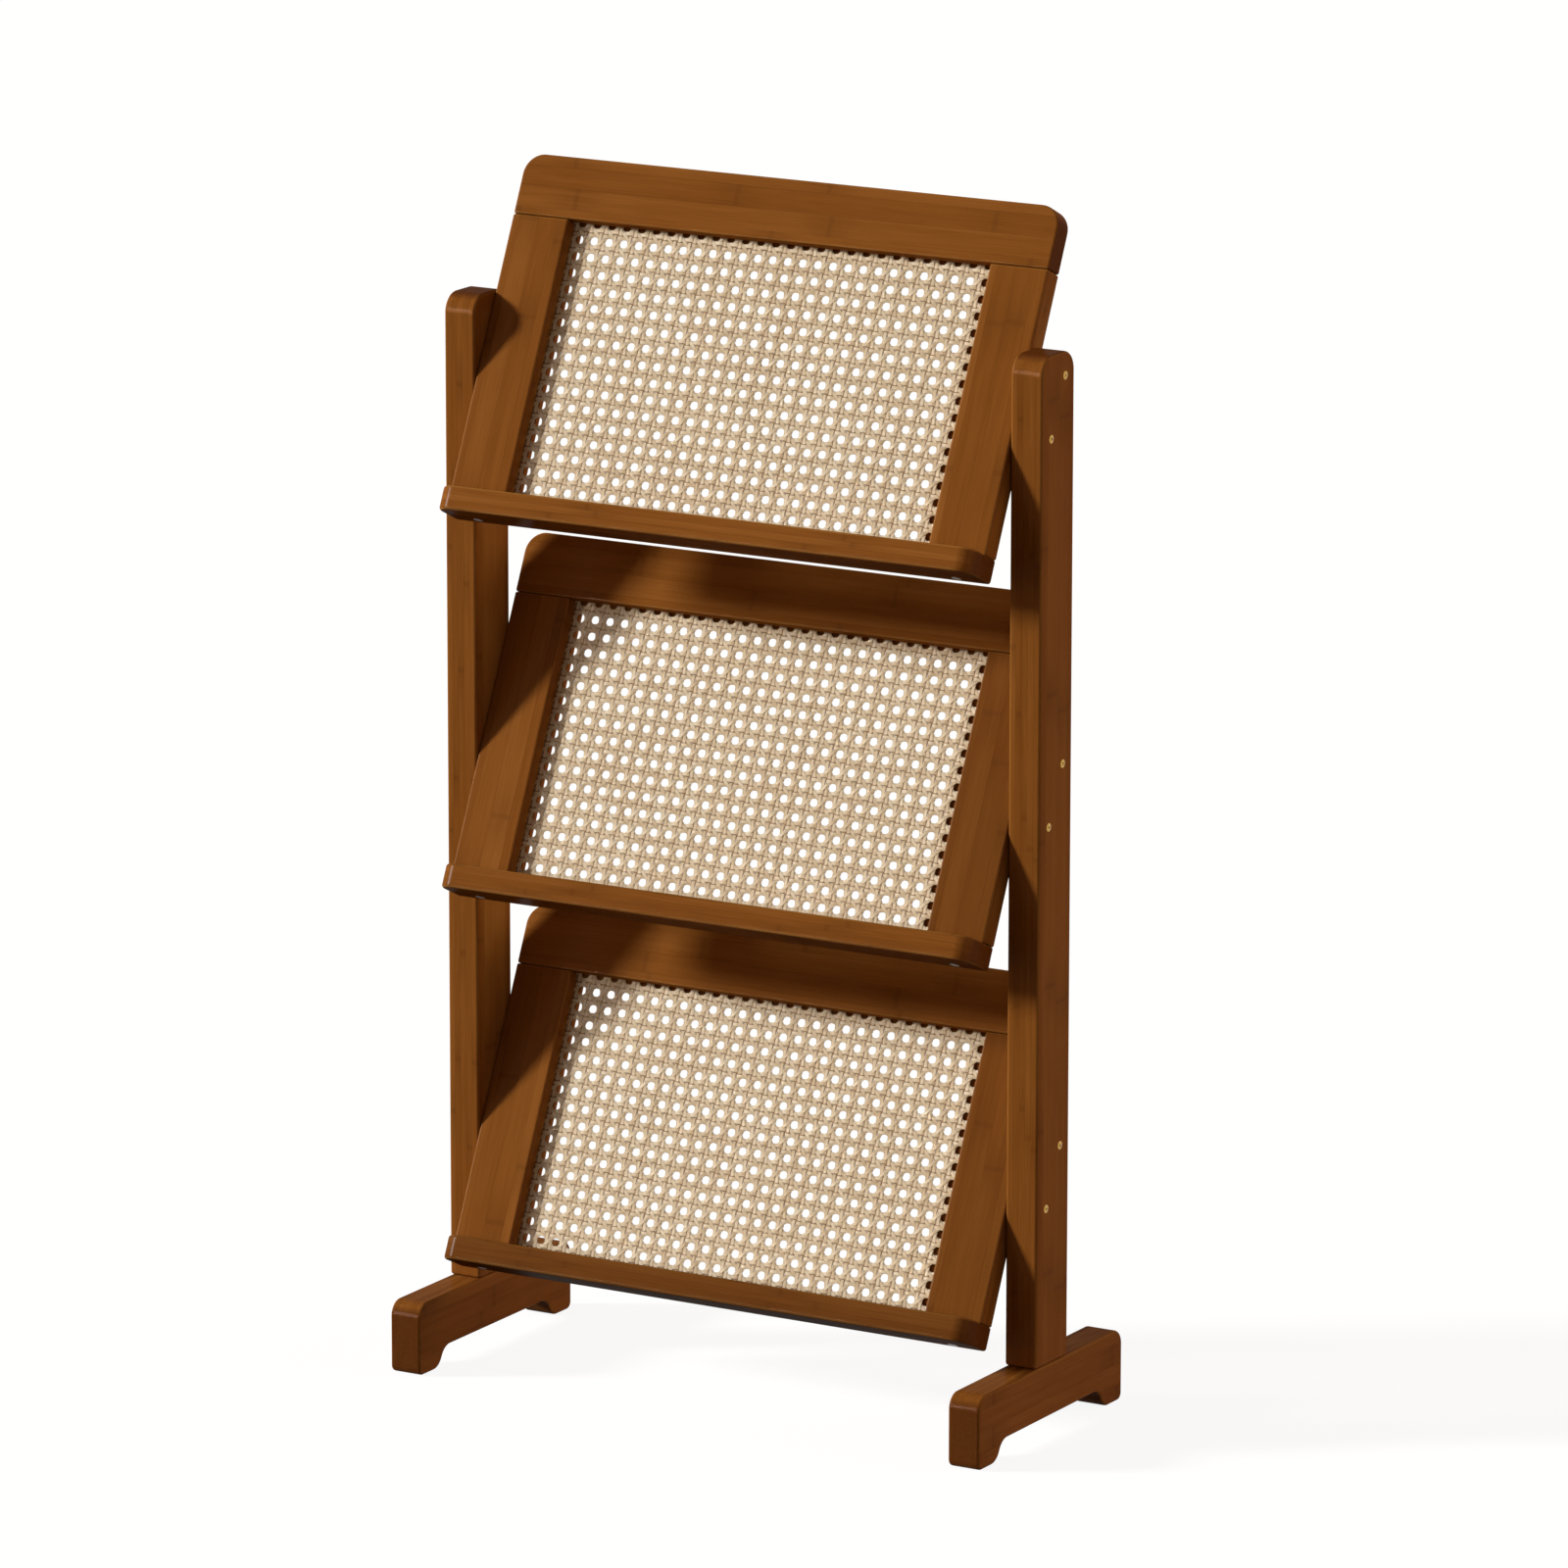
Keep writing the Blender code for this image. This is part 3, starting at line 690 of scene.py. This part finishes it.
def build_stand(side, sign, wood):
    """A post and the foot under it, with the holes of their screws."""
    cutters = []
    for number, place in side_screw_spots(sign):
        turn = tier_turn(number) @ Matrix.Translation(place) @ OUTWARD[sign]
        cutters.append(hole("side", (0, 0, 0), turn, countersunk(SIDE_SCREW)))
    head, shank = FOOT_SCREW["head"] / 2 + GAP, FOOT_SCREW["shank"] / 2 + GAP
    profile = [
        (FOOT_SCREW_SINK + OVERRUN, 0),
        (FOOT_SCREW_SINK + OVERRUN, head),
        (-FOOT_SCREW["depth"] - GAP, head),
        (-FOOT_SCREW["depth"] - GAP, shank),
        (-FOOT_SCREW["length"] - GAP, shank),
        (-FOOT_SCREW["length"] - GAP, 0),
    ]
    under = [hole("foot", place, DOWNWARD, profile) for place in foot_screw_spots(sign)]

    low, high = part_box(side + "_post")
    outline = rectangle(low[1:], high[1:], (0, 0, POST_CORNER, POST_CORNER))
    shape = extruded(outline, low[0], high[0], lambda a, b, c: (c, a, b))
    board(side + "_post", "_board", shape, wood, POST_EASE, (2, 1, 0), UPRIGHT, cutters + under, 0)

    low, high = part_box(side + "_foot")
    shape = extruded(
        foot_outline(high[1] - low[1], high[2]), low[0], high[0], lambda a, b, c: (c, a, b)
    )
    board(side + "_foot", "_block", shape, wood, POST_EASE, (1, 2, 0), UPRIGHT, under, 0)
    for cutter in cutters + under:
        bpy.data.objects.remove(cutter, do_unlink=True)


def build_tier(tier, number, wood):
    """The rail, stiles, ledge and battens of one tilted frame."""
    turn = tier_turn(number)
    rail_low, rail_high = local_box(tier + "_top_rail", turn)
    inner_high = local_box(tier + "_left_stile", turn)[1]
    ledge_low, ledge_high = local_box(tier + "_ledge", turn)
    half = -inner_high[0] + REBATE_WIDTH
    back = rail_high[1]
    rebate = put(
        "rebate",
        extruded(
            rectangle((-half, REBATE_FRONT), (half, back + OVERRUN)),
            -GAP - REBATE_WIDTH,
            rail_low[2] + REBATE_WIDTH,
            as_drawn,
        ),
    )
    dowels, screws, ledge_screws = [], {}, []
    dowel = DOWEL_DIAMETER / 2 + GAP
    reach = DOWEL_LENGTH / 2 + GAP
    bore = [(reach, 0), (reach, dowel), (-reach, dowel), (-reach, 0)]
    stile_middle = (-rail_low[0] - inner_high[0]) / 2
    for side, sign in SIDES:
        middle = (sign * stile_middle, back / 2)
        dowels.append(hole("dowel", (*middle, rail_low[2]), UPRIGHT, bore))
        spot = (*middle, ledge_low[2])
        ledge_screws.append(hole("ledge", spot, DOWNWARD, countersunk(LEDGE_SCREW)))
        spots = [place for tier_number, place in side_screw_spots(sign) if tier_number == number]
        screws[side] = [hole("side", p, OUTWARD[sign], countersunk(SIDE_SCREW)) for p in spots]

    outline = rectangle(rail_low[::2], rail_high[::2], (0, 0, RAIL_CORNER, RAIL_CORNER))
    shape = extruded(outline, rail_low[1], back, lambda a, b, c: (a, c, b))
    cutters = [rebate, *dowels]
    board(tier + "_top_rail", "_board", shape, wood, PANEL_EASE, (0, 2, 1), turn, cutters, 1)
    for side, sign in SIDES:
        node = tier + "_" + side + "_stile"
        low, high = local_box(node, turn)
        shape = extruded(rectangle(low[:2], high[:2]), low[2], high[2], as_drawn)
        cutters = [rebate, *dowels, *ledge_screws, *screws[side]]
        board(node, "_board", shape, wood, PANEL_EASE, (2, 0, 1), turn, cutters)

    outline = rectangle(ledge_low[:2], ledge_high[:2], (LEDGE_CORNER, LEDGE_CORNER, 0, 0))
    shape = extruded(outline, ledge_low[2], ledge_high[2], as_drawn)
    top = ledge_high[2]
    seat_outline = rectangle((ledge_low[0] - OVERRUN, -GAP), (ledge_high[0] + OVERRUN, back + OVERRUN))
    seat = put("seat", extruded(seat_outline, top - SEAT_DEPTH, OVERRUN, as_drawn))
    cutters = [seat, rebate, *ledge_screws]
    board(tier + "_ledge", "_board", shape, wood, POST_EASE, (0, 1, 2), turn, cutters, 2)

    for name, grain in BATTENS:
        node = tier + "_" + name + "_batten"
        low, high = local_box(node, turn)
        shape = extruded(rectangle(low[:2], high[:2]), low[2], high[2], as_drawn)
        board(node, "_strip", shape, wood, BATTEN_EASE, grain, turn)
    for cutter in (rebate, seat, *dowels, *ledge_screws, *screws["left"], *screws["right"]):
        bpy.data.objects.remove(cutter, do_unlink=True)


# Geometry node trees


def new_tree(name, inputs):
    """A geometry node tree with its named inputs; returns it with its two end nodes."""
    tree = bpy.data.node_groups.new(name, "GeometryNodeTree")
    for label, kind in (("Geometry", "Geometry"), *inputs):
        tree.interface.new_socket(label, in_out="INPUT", socket_type="NodeSocket" + kind)
    tree.interface.new_socket("Geometry", in_out="OUTPUT", socket_type="NodeSocketGeometry")
    return tree, tree.nodes.new("NodeGroupInput"), tree.nodes.new("NodeGroupOutput")


def finish_tree(tree, geometry, material, ending):
    """Every tree ends as real geometry in its own material."""
    real = add(tree, "GeometryNodeRealizeInstances", (geometry,))
    coated = add(tree, "GeometryNodeSetMaterial", {"Geometry": real, "Material": material})
    fill(tree, ending, (coated,))


def run_tree(piece, tree, values):
    """Run a tree on a piece and keep the plain mesh that it makes."""
    modifier = piece.modifiers.new(tree.name, "NODES")
    modifier.node_group = tree
    for item in tree.interface.items_tree:
        if item.in_out == "INPUT" and item.name in values:
            modifier[item.identifier] = values[item.name]
    apply_modifiers(piece)


def weaving_tree():
    """Strand centre lines become bands that pass over and under each other."""
    arc_sizes = ("Arc radius", "Arc start", "Arc sweep", "Arc drop")
    inputs = [(name, "Float") for name in ("Pitch", "Step", "Waver", *arc_sizes)]
    tree, start, ending = new_tree("woven_cane", [*inputs, ("Material", "Material")])
    given = start.outputs
    lines = add(tree, "GeometryNodeMeshToCurve", (given["Geometry"],))
    sizes = {"Curve": lines, "Length": given["Step"]}
    lines = add(tree, "GeometryNodeResampleCurve", sizes, mode="LENGTH")
    place = add(tree, "GeometryNodeInputPosition")
    beat = add(tree, STORED_ON_POINTS, {"Name": "beat"}, data_type="FLOAT_VECTOR")
    names = ("beat_start", "swing", "width")
    beat_start, swing, width = [add(tree, STORED_ON_POINTS, {"Name": name}) for name in names]

    # Height of a strand: a wave along its own length, in step with the crossings
    run = add(tree, VECTOR_MATH, (place, beat), operation="DOT_PRODUCT").outputs["Value"]
    turns = add(tree, MATH, (run, given["Pitch"]), operation="DIVIDE")
    turns = add(tree, MATH, (turns, beat_start), operation="ADD")
    turns = add(tree, MATH, (turns, math.tau), operation="MULTIPLY")
    wave = add(tree, MATH, (turns,), operation="SINE")
    height = add(tree, MATH, (wave, swing), operation="MULTIPLY")

    # Slight unevenness of hand-drawn strands
    sizes = {"Vector": place, "Scale": WAVERS_PER_METRE, "Detail": 1.0}
    noise = add(tree, NOISE, sizes).outputs["Color"]
    centred = add(tree, VECTOR_MATH, (noise, (0.5, 0.5, 0.5)), operation="SUBTRACT")
    waver = add(tree, VECTOR_MATH, {0: centred, "Scale": given["Waver"]}, operation="SCALE")
    sideways = add(tree, SEPARATE, (waver,)).outputs
    offset = add(tree, COMBINE, (sideways[0], sideways[1], height))
    lines = add(tree, "GeometryNodeSetPosition", {"Geometry": lines, "Offset": offset})
    length = add(tree, "GeometryNodeSplineParameter").outputs["Length"]
    lift = add(tree, MATH, (swing,), operation="SIGN")
    lift = add(tree, MATH, (wave, lift), operation="MULTIPLY")
    for name, value in (("along", length), ("lift", lift)):
        lines = add(tree, STORE, {"Geometry": lines, "Name": name, "Value": value})
    lines = add(tree, "GeometryNodeSetCurveNormal", {"Curve": lines}, mode="Z_UP")

    # Cross-section: flat behind, domed in front
    sizes = {
        "Resolution": STRAND_SIDES,
        "Radius": given["Arc radius"],
        "Start Angle": given["Arc start"],
        "Sweep Angle": given["Arc sweep"],
    }
    section = add(tree, "GeometryNodeCurveArc", sizes, mode="RADIUS")
    section = add(tree, "GeometryNodeSetSplineCyclic", {"Geometry": section, "Cyclic": True})
    drop = add(tree, COMBINE, {1: given["Arc drop"]})
    section = add(tree, "GeometryNodeSetPosition", {"Geometry": section, "Offset": drop})
    across = add(tree, SEPARATE, (place,))
    section = add(tree, STORE, {"Geometry": section, "Name": "across", "Value": across})
    sweep = {"Curve": lines, "Profile Curve": section, "Scale": width, "Fill Caps": True}
    bands = add(tree, "GeometryNodeCurveToMesh", sweep)
    finish_tree(tree, bands, given["Material"], ending)
    return tree


def copying_tree():
    """Places one shape at every point, turned as the point says."""
    tree, start, ending = new_tree("repeated_fastener", (("Shape", "Object"), ("Material", "Material")))
    shape = add(tree, "GeometryNodeObjectInfo", {"Object": start.outputs["Shape"]}).outputs["Geometry"]
    angles = add(tree, STORED_ON_POINTS, {"Name": "turn"}, data_type="FLOAT_VECTOR")
    turn = add(tree, "FunctionNodeEulerToRotation", (angles,))
    inputs = {"Points": start.outputs["Geometry"], "Instance": shape, "Rotation": turn}
    copies = add(tree, "GeometryNodeInstanceOnPoints", inputs)
    finish_tree(tree, copies, start.outputs["Material"], ending)
    return tree


# Cane


def strand_lines(low, high, seed):
    """Centre lines of every strand of one panel: two ends, width, wave and swing."""
    chance = random.Random(seed)
    strands = []

    def strand(first, second, width, beat, beat_start, swing, inner=0):
        """Note one strand; inner tells on which side its twin lies."""
        strands.append((first, second, width, beat, beat_start, swing, chance.random(), inner))

    edge = PAIR_WIDTH / 2
    level_start = -CANE_LEVEL / CANE_PITCH
    for column in range(math.ceil(low[0] / CANE_PITCH), math.floor(high[0] / CANE_PITCH) + 1):
        for turn in (-1, 1):
            x = column * CANE_PITCH + turn * PAIR_OFFSET
            ends = (x, low[1]), (x, high[1])
            if low[0] + edge <= x <= high[0] - edge:
                strand(*ends, PAIR_WIDTH, (0, 1), level_start, turn * PAIR_SWING, -turn)
    for row in range(math.floor(low[1] / CANE_PITCH), math.ceil(high[1] / CANE_PITCH) + 1):
        for turn in (-1, 1):
            level = CANE_LEVEL + row * CANE_PITCH + turn * PAIR_OFFSET
            ends = (low[0], level), (high[0], level)
            if low[1] + edge <= level <= high[1] - edge:
                strand(*ends, PAIR_WIDTH, (1, 0), 0.0, -turn * PAIR_SWING, turn)
    for slope in (1, -1):
        reaches = [level - slope * x for x in (low[0], high[0]) for level in (low[1], high[1])]
        first = math.ceil((min(reaches) - CANE_ROW) / CANE_PITCH)
        last = math.floor((max(reaches) - CANE_ROW) / CANE_PITCH)
        for number in range(first, last + 1):
            start = CANE_ROW + number * CANE_PITCH
            limits = sorted(((low[1] - start) * slope, (high[1] - start) * slope))
            left, right = max(low[0], limits[0]), min(high[0], limits[1])
            if right - left < CANE_PITCH / 2:
                continue
            ends = (left, start + slope * left), (right, start + slope * right)
            strand(*ends, DIAGONAL_WIDTH, (1, 0), 0.25, slope * DIAGONAL_SWING)
    return strands


def weave_panel(tier, number, tree, material):
    """One woven panel, as wide and high as the solid it stands for."""
    turn = tier_turn(number)
    low, high = local_box(tier + "_cane_panel", turn)
    strands = strand_lines(low[::2], high[::2], number)
    mesh = bpy.data.meshes.new(tier + "_cane_weave")
    points = [(*end, 0) for strand in strands for end in strand[:2]]
    mesh.from_pydata(points, [(2 * i, 2 * i + 1) for i in range(len(strands))], [])
    beat = mesh.attributes.new("beat", "FLOAT_VECTOR", "POINT")
    beat.data.foreach_set("vector", [v for s in strands for _ in range(2) for v in (*s[3], 0)])
    for name, index in (("width", 2), ("beat_start", 4), ("swing", 5), ("strand", 6), ("inner", 7)):
        layer = mesh.attributes.new(name, "FLOAT", "POINT")
        layer.data.foreach_set("value", [s[index] for s in strands for _ in range(2)])
    panel = bpy.data.objects.new(tier + "_cane_weave", mesh)
    bpy.context.scene.collection.objects.link(panel)

    # The domed front is an arc over a strand of width 1
    dome, half = STRAND_DOME_SHARE, 1 / 2
    radius = (half**2 + dome**2) / (2 * dome)
    half_angle = math.asin(half / radius)
    values = {
        "Pitch": CANE_PITCH,
        "Step": STRAND_STEP,
        "Waver": STRAND_WAVER,
        "Arc radius": radius,
        "Arc start": QUARTER - half_angle,
        "Arc sweep": 2 * half_angle,
        "Arc drop": dome / 2 - radius,
        "Material": material,
    }
    run_tree(panel, tree, values)
    panel.data.shade_smooth()
    panel.data.set_sharp_from_angle(angle=STRAND_CREASE_ANGLE)
    forward = Matrix.Translation((0, CANE_MIDDLE, 0)) @ Matrix.Rotation(QUARTER, 4, "X")
    panel.data.transform(turn @ forward)
    settle(panel, [tier + "_cane_panel"])


# Fasteners


def cross_outline(reach, width):
    """A plus sign."""
    half, arm = width / 2, reach / 2
    corner = [(arm, -half), (arm, half), (half, half)]
    outline = []
    for turn in range(4):
        c, s = round(math.cos(turn * QUARTER)), round(math.sin(turn * QUARTER))
        outline += [(a * c - b * s, a * s + b * c) for a, b in corner]
    return outline


def wood_screw(name, screw):
    """A countersunk screw with a cross recess, its head facing +Z at the origin."""
    head, shank, length, dome = (screw[key] for key in ("head", "shank", "length", "dome"))
    steps = [i / DOME_STEPS for i in range(DOME_STEPS + 1)]
    profile = [(dome * (1 - share**2), share * head / 2) for share in steps]
    profile += [(-HEAD_RIM_SHARE * head, head / 2)]
    profile += [(-(head - shank) / 2, shank / 2), (-(length - SCREW_POINT), shank / 2), (-length, 0)]
    piece = put(name, turned(profile, as_drawn))
    reach, width, depth, foot = (CROSS_SHARES[key] for key in ("reach", "width", "depth", "foot"))
    outline = cross_outline(reach * head, width * head)
    cutter = put("recess", extruded(outline, dome + OVERRUN, -depth * head, as_drawn, foot))
    cut(piece, [cutter])
    apply_modifiers(piece)
    bpy.data.objects.remove(cutter, do_unlink=True)
    shade(piece)
    return piece


def socket_screw(name):
    """A cap screw with a hexagon socket, its head facing +Z at the origin."""
    head, shank = FOOT_SCREW["head"] / 2, FOOT_SCREW["shank"] / 2
    chamfer = head * HEX_CHAMFER_SHARE
    depth, length = FOOT_SCREW["depth"], FOOT_SCREW["length"]
    profile = [
        (0, 0),
        (0, head - chamfer),
        (-chamfer, head),
        (-depth, head),
        (-depth, shank),
        (-(length - SCREW_POINT), shank),
        (-length, 0),
    ]
    piece = put(name, turned(profile, as_drawn))
    corner = HEX_SOCKET["flats"] / (2 * math.cos(math.pi / HEX_SIDES))
    outline = arc((0, 0), corner, 0, math.tau, HEX_SIDES)[:-1]
    cutter = put("recess", extruded(outline, OVERRUN, -HEX_SOCKET["depth"], as_drawn))
    cut(piece, [cutter])
    apply_modifiers(piece)
    bpy.data.objects.remove(cutter, do_unlink=True)
    shade(piece)
    return piece


def wire_pin(name):
    """A fine flat-headed pin, its head facing +Z at the origin."""
    head, shank = PIN["head"] / 2, PIN["shank"] / 2
    proud, length = PIN["proud"], PIN["length"]
    profile = [
        (proud, 0),
        (proud, head * PIN_TOP_SHARE),
        (proud / 2, head),
        (0, head),
        (0, shank),
        (-(length - 2 * shank), shank),
        (-length, 0),
    ]
    piece = put(name, turned(profile, as_drawn, PIN_SIDES))
    shade(piece)
    return piece


def place_fasteners(name, shape, spots, tree, material, nodes):
    """Copies of one fastener at every spot, as one piece."""
    mesh = bpy.data.meshes.new(name)
    mesh.from_pydata([spot.translation for spot in spots], [], [])
    turn = mesh.attributes.new("turn", "FLOAT_VECTOR", "POINT")
    turn.data.foreach_set("vector", [angle for spot in spots for angle in spot.to_euler()])
    piece = bpy.data.objects.new(name, mesh)
    bpy.context.scene.collection.objects.link(piece)
    run_tree(piece, tree, {"Shape": shape, "Material": material})
    bpy.data.objects.remove(shape, do_unlink=True)
    settle(piece, nodes)


def pin_spots(tier, number):
    """Pins along the battens, over the wood of the rebate."""
    turn = tier_turn(number)
    spots = []
    to_back = Matrix.Rotation(-QUARTER, 4, "X")
    low, high = local_box(tier + "_bottom_batten", turn)
    top = local_box(tier + "_top_batten", turn)[1]
    inset = REBATE_WIDTH / 2
    left, right, bottom, back = low[0] + inset, high[0] - inset, low[2] + inset, high[1]
    columns = math.floor((right - left) / PIN_SPACING)
    places = []
    for i in range(columns + 1):
        x = left + (right - left) * (i + 0.5) / (columns + 1)
        places += [(x, bottom), (x, top[2] - inset)]
    upright = top[2] - inset - bottom
    rows = math.floor(upright / PIN_SPACING)
    for i in range(rows + 1):
        level = bottom + upright * (i + 0.5) / (rows + 1)
        places += [(left, level), (right, level)]
    for x, level in places:
        spots.append(turn @ Matrix.Translation((x, back, level)) @ to_back)
    return spots


def add_fasteners(tree, gold, steel):
    """Brass screws at the sides, steel ones under the ledges and feet, pins in the battens."""
    chance = random.Random(FASTENER_SEED)
    brass_spots, ledge_spots, foot_spots, pins = [], [], [], []
    for side, sign in SIDES:
        for number, place in side_screw_spots(sign):
            spin = Matrix.Rotation(chance.uniform(0, QUARTER), 4, "Z")
            brass_spots.append(tier_turn(number) @ Matrix.Translation(place) @ OUTWARD[sign] @ spin)
        for place in foot_screw_spots(sign):
            foot_spots.append(Matrix.Translation(place) @ DOWNWARD)
    for number, tier in enumerate(TIERS):
        pins += pin_spots(tier, number)
        for side, sign in SIDES:
            turn = tier_turn(number)
            low, high = local_box(tier + "_" + side + "_stile", turn)
            x, y = (low[0] + high[0]) / 2, (low[1] + high[1]) / 2
            bottom = local_box(tier + "_ledge", turn)[0][2]
            spin = Matrix.Rotation(chance.uniform(0, QUARTER), 4, "Z")
            ledge_spots.append(turn @ Matrix.Translation((x, y, bottom)) @ DOWNWARD @ spin)
    pairs = [(tier, side) for tier in TIERS for side, sign in SIDES]
    side_nodes = [f"{tier}_{side}_screw_{level}" for tier, side in pairs for level in ("low", "high")]
    ledge_nodes = [f"{tier}_{side}_ledge_screw" for tier, side in pairs]
    foot_nodes = [f"{side}_foot_screw_{end}" for side, sign in SIDES for end in ("front", "rear")]
    shape = wood_screw("side_screw_shape", SIDE_SCREW)
    place_fasteners("brass_side_screws", shape, brass_spots, tree, gold, side_nodes)
    shape = wood_screw("ledge_screw_shape", LEDGE_SCREW)
    place_fasteners("steel_ledge_screws", shape, ledge_spots, tree, steel, ledge_nodes)
    shape = socket_screw("foot_screw_shape")
    place_fasteners("steel_foot_screws", shape, foot_spots, tree, steel, foot_nodes)
    shape = wire_pin("pin_shape")
    place_fasteners("steel_batten_pins", shape, pins, tree, steel, [])


# Room


def add_camera():
    """The photograph's view."""
    c, s = math.cos(CAMERA_YAW), math.sin(CAMERA_YAW)
    ahead = Vector((-s * math.cos(CAMERA_PITCH), c * math.cos(CAMERA_PITCH), math.sin(CAMERA_PITCH)))
    level = Vector((c, s, 0))
    above = level.cross(ahead)
    right = level * math.cos(CAMERA_ROLL) + above * math.sin(CAMERA_ROLL)
    up = above * math.cos(CAMERA_ROLL) - level * math.sin(CAMERA_ROLL)
    data = bpy.data.cameras.new("camera")
    data.sensor_width = SENSOR_WIDTH
    data.lens = FOCAL_PIXELS * SENSOR_WIDTH / PHOTO_PIXELS
    data.clip_end = CAMERA_REACH
    camera = bpy.data.objects.new("camera", data)
    turn = Matrix((right, up, -ahead)).transposed().to_4x4()
    camera.matrix_world = Matrix.Translation(CAMERA_PLACE) @ turn
    bpy.context.scene.collection.objects.link(camera)
    bpy.context.scene.camera = camera


def seen_directly(tree):
    """1 for what the camera sees straight, in metal or through glass, else 0."""
    path = add(tree, "ShaderNodeLightPath").outputs
    mirrored = add(tree, MATH, (path["Is Glossy Ray"], path["Is Transmission Ray"]), operation="MAXIMUM")
    return add(tree, MATH, (path["Is Camera Ray"], mirrored), operation="MAXIMUM")


def direction(azimuth, elevation):
    """Unit vector from the rack towards a light; azimuth 0 is in front, more is to the left."""
    flat = math.cos(elevation)
    return (-flat * math.sin(azimuth), -flat * math.cos(azimuth), math.sin(elevation))


def add_floor():
    """A pale floor that looks nearly white and keeps the rack's shadow, but bounces little light."""
    material, tree, shader = new_material("pale_studio_floor")
    direct = seen_directly(tree)
    colours = {0: direct, 6: colour(FLOOR_BOUNCE_COLOUR), 7: colour(FLOOR_COLOUR)}
    paint = add(tree, MIX, colours, data_type="RGBA").outputs[2]
    fill(tree, shader, {"Base Color": paint, "Roughness": 1.0, "Specular IOR Level": 0.0})
    strength = add(tree, MATH, (direct, FLOOR_GLOW), operation="MULTIPLY")
    glow = add(tree, "ShaderNodeEmission", {"Strength": strength})
    both = add(tree, "ShaderNodeAddShader", (shader, glow))
    fill(tree, tree.nodes["Material Output"], {"Surface": both})
    half = FLOOR_SIZE / 2
    corners = rectangle((-half, -half), (half, half))
    shape = bmesh.new()
    shape.faces.new([shape.verts.new((x, y, -FLOOR_DROP)) for x, y in corners])
    put("studio_floor", shape, material)


def add_room():
    """A room that the camera sees as plain white and that lights the rack with a warm dim glow."""
    world = bpy.data.worlds.new("pale_room")
    bpy.context.scene.world = world
    world.use_nodes = True
    tree = world.node_tree
    towards = add(tree, "ShaderNodeTexCoord").outputs["Generated"]
    parts = add(tree, SEPARATE, (towards,)).outputs
    strength = add(tree, MATH, (1.0, parts[2]), operation="SUBTRACT")
    strength = add(tree, MATH, (strength, ROOM_FALL), operation="POWER")
    limits = (strength, ROOM_LOW_STRENGTH, ROOM_HIGH_STRENGTH)
    strength = add(tree, MATH, limits, operation="MULTIPLY_ADD")
    slant = add(tree, MATH, (parts[0], ROOM_SLANT, 1.0), operation="MULTIPLY_ADD")
    strength = add(tree, MATH, (strength, slant), operation="MULTIPLY")
    side = add(tree, VECTOR_MATH, (towards, ROOM_SIDE), operation="DOT_PRODUCT").outputs["Value"]
    side = add(tree, MATH, (side, 0.0), operation="MAXIMUM")
    side = add(tree, MATH, (side, ROOM_SIDE_FOCUS), operation="POWER")
    strength = add(tree, MATH, (side, ROOM_SIDE_STRENGTH, strength), operation="MULTIPLY_ADD")
    room = {"Color": colour(ROOM_COLOUR), "Strength": strength}
    room = add(tree, "ShaderNodeBackground", room)

    window = direction(WINDOW_AZIMUTH, WINDOW_ELEVATION)
    near = add(tree, VECTOR_MATH, (towards, window), operation="DOT_PRODUCT").outputs["Value"]
    limits = (near, math.cos(WINDOW_REACH), math.cos(WINDOW_CORE), 0.0, WINDOW_STRENGTH)
    strength = add(tree, RANGE, limits, interpolation_type=SMOOTH)
    mirrored = add(tree, "ShaderNodeLightPath").outputs["Is Glossy Ray"]
    strength = add(tree, MATH, (strength, mirrored, 1.0), operation="MULTIPLY_ADD")
    white = add(tree, "ShaderNodeBackground", {"Color": (1, 1, 1, 1), "Strength": strength})
    mixed = add(tree, "ShaderNodeMixShader", (seen_directly(tree), room, white))
    fill(tree, tree.nodes["World Output"], {"Surface": mixed})


def add_lamp():
    """The broad lamp, and colours shown as they are written."""
    lamp = bpy.data.lights.new("broad_lamp", "SUN")
    lamp.energy = LAMP_STRENGTH
    lamp.color = colour(LAMP_COLOUR)[:3]
    lamp.angle = LAMP_SPREAD
    stand = bpy.data.objects.new("broad_lamp", lamp)
    source = Vector(direction(LAMP_AZIMUTH, LAMP_ELEVATION))
    stand.rotation_euler = (-source).to_track_quat("-Z", "Y").to_euler()
    bpy.context.scene.collection.objects.link(stand)
    bpy.context.scene.view_settings.view_transform = "Standard"


def build():
    """The whole picture: camera, boards, cane, fasteners, floor and light."""
    add_camera()
    wood, cane = stained_bamboo(), natural_cane()
    for side, sign in SIDES:
        build_stand(side, sign, wood)
    weaving, copying = weaving_tree(), copying_tree()
    for number, tier in enumerate(TIERS):
        build_tier(tier, number, wood)
        weave_panel(tier, number, weaving, cane)
    add_fasteners(copying, brass(), zinc_plated_steel())
    raw_wood = birch_dowel()
    for name, node in frame["nodes"].items():
        if name.endswith("_dowel"):
            node.data.materials.clear()
            node.data.materials.append(raw_wood)
    add_floor()
    add_room()
    add_lamp()


build()
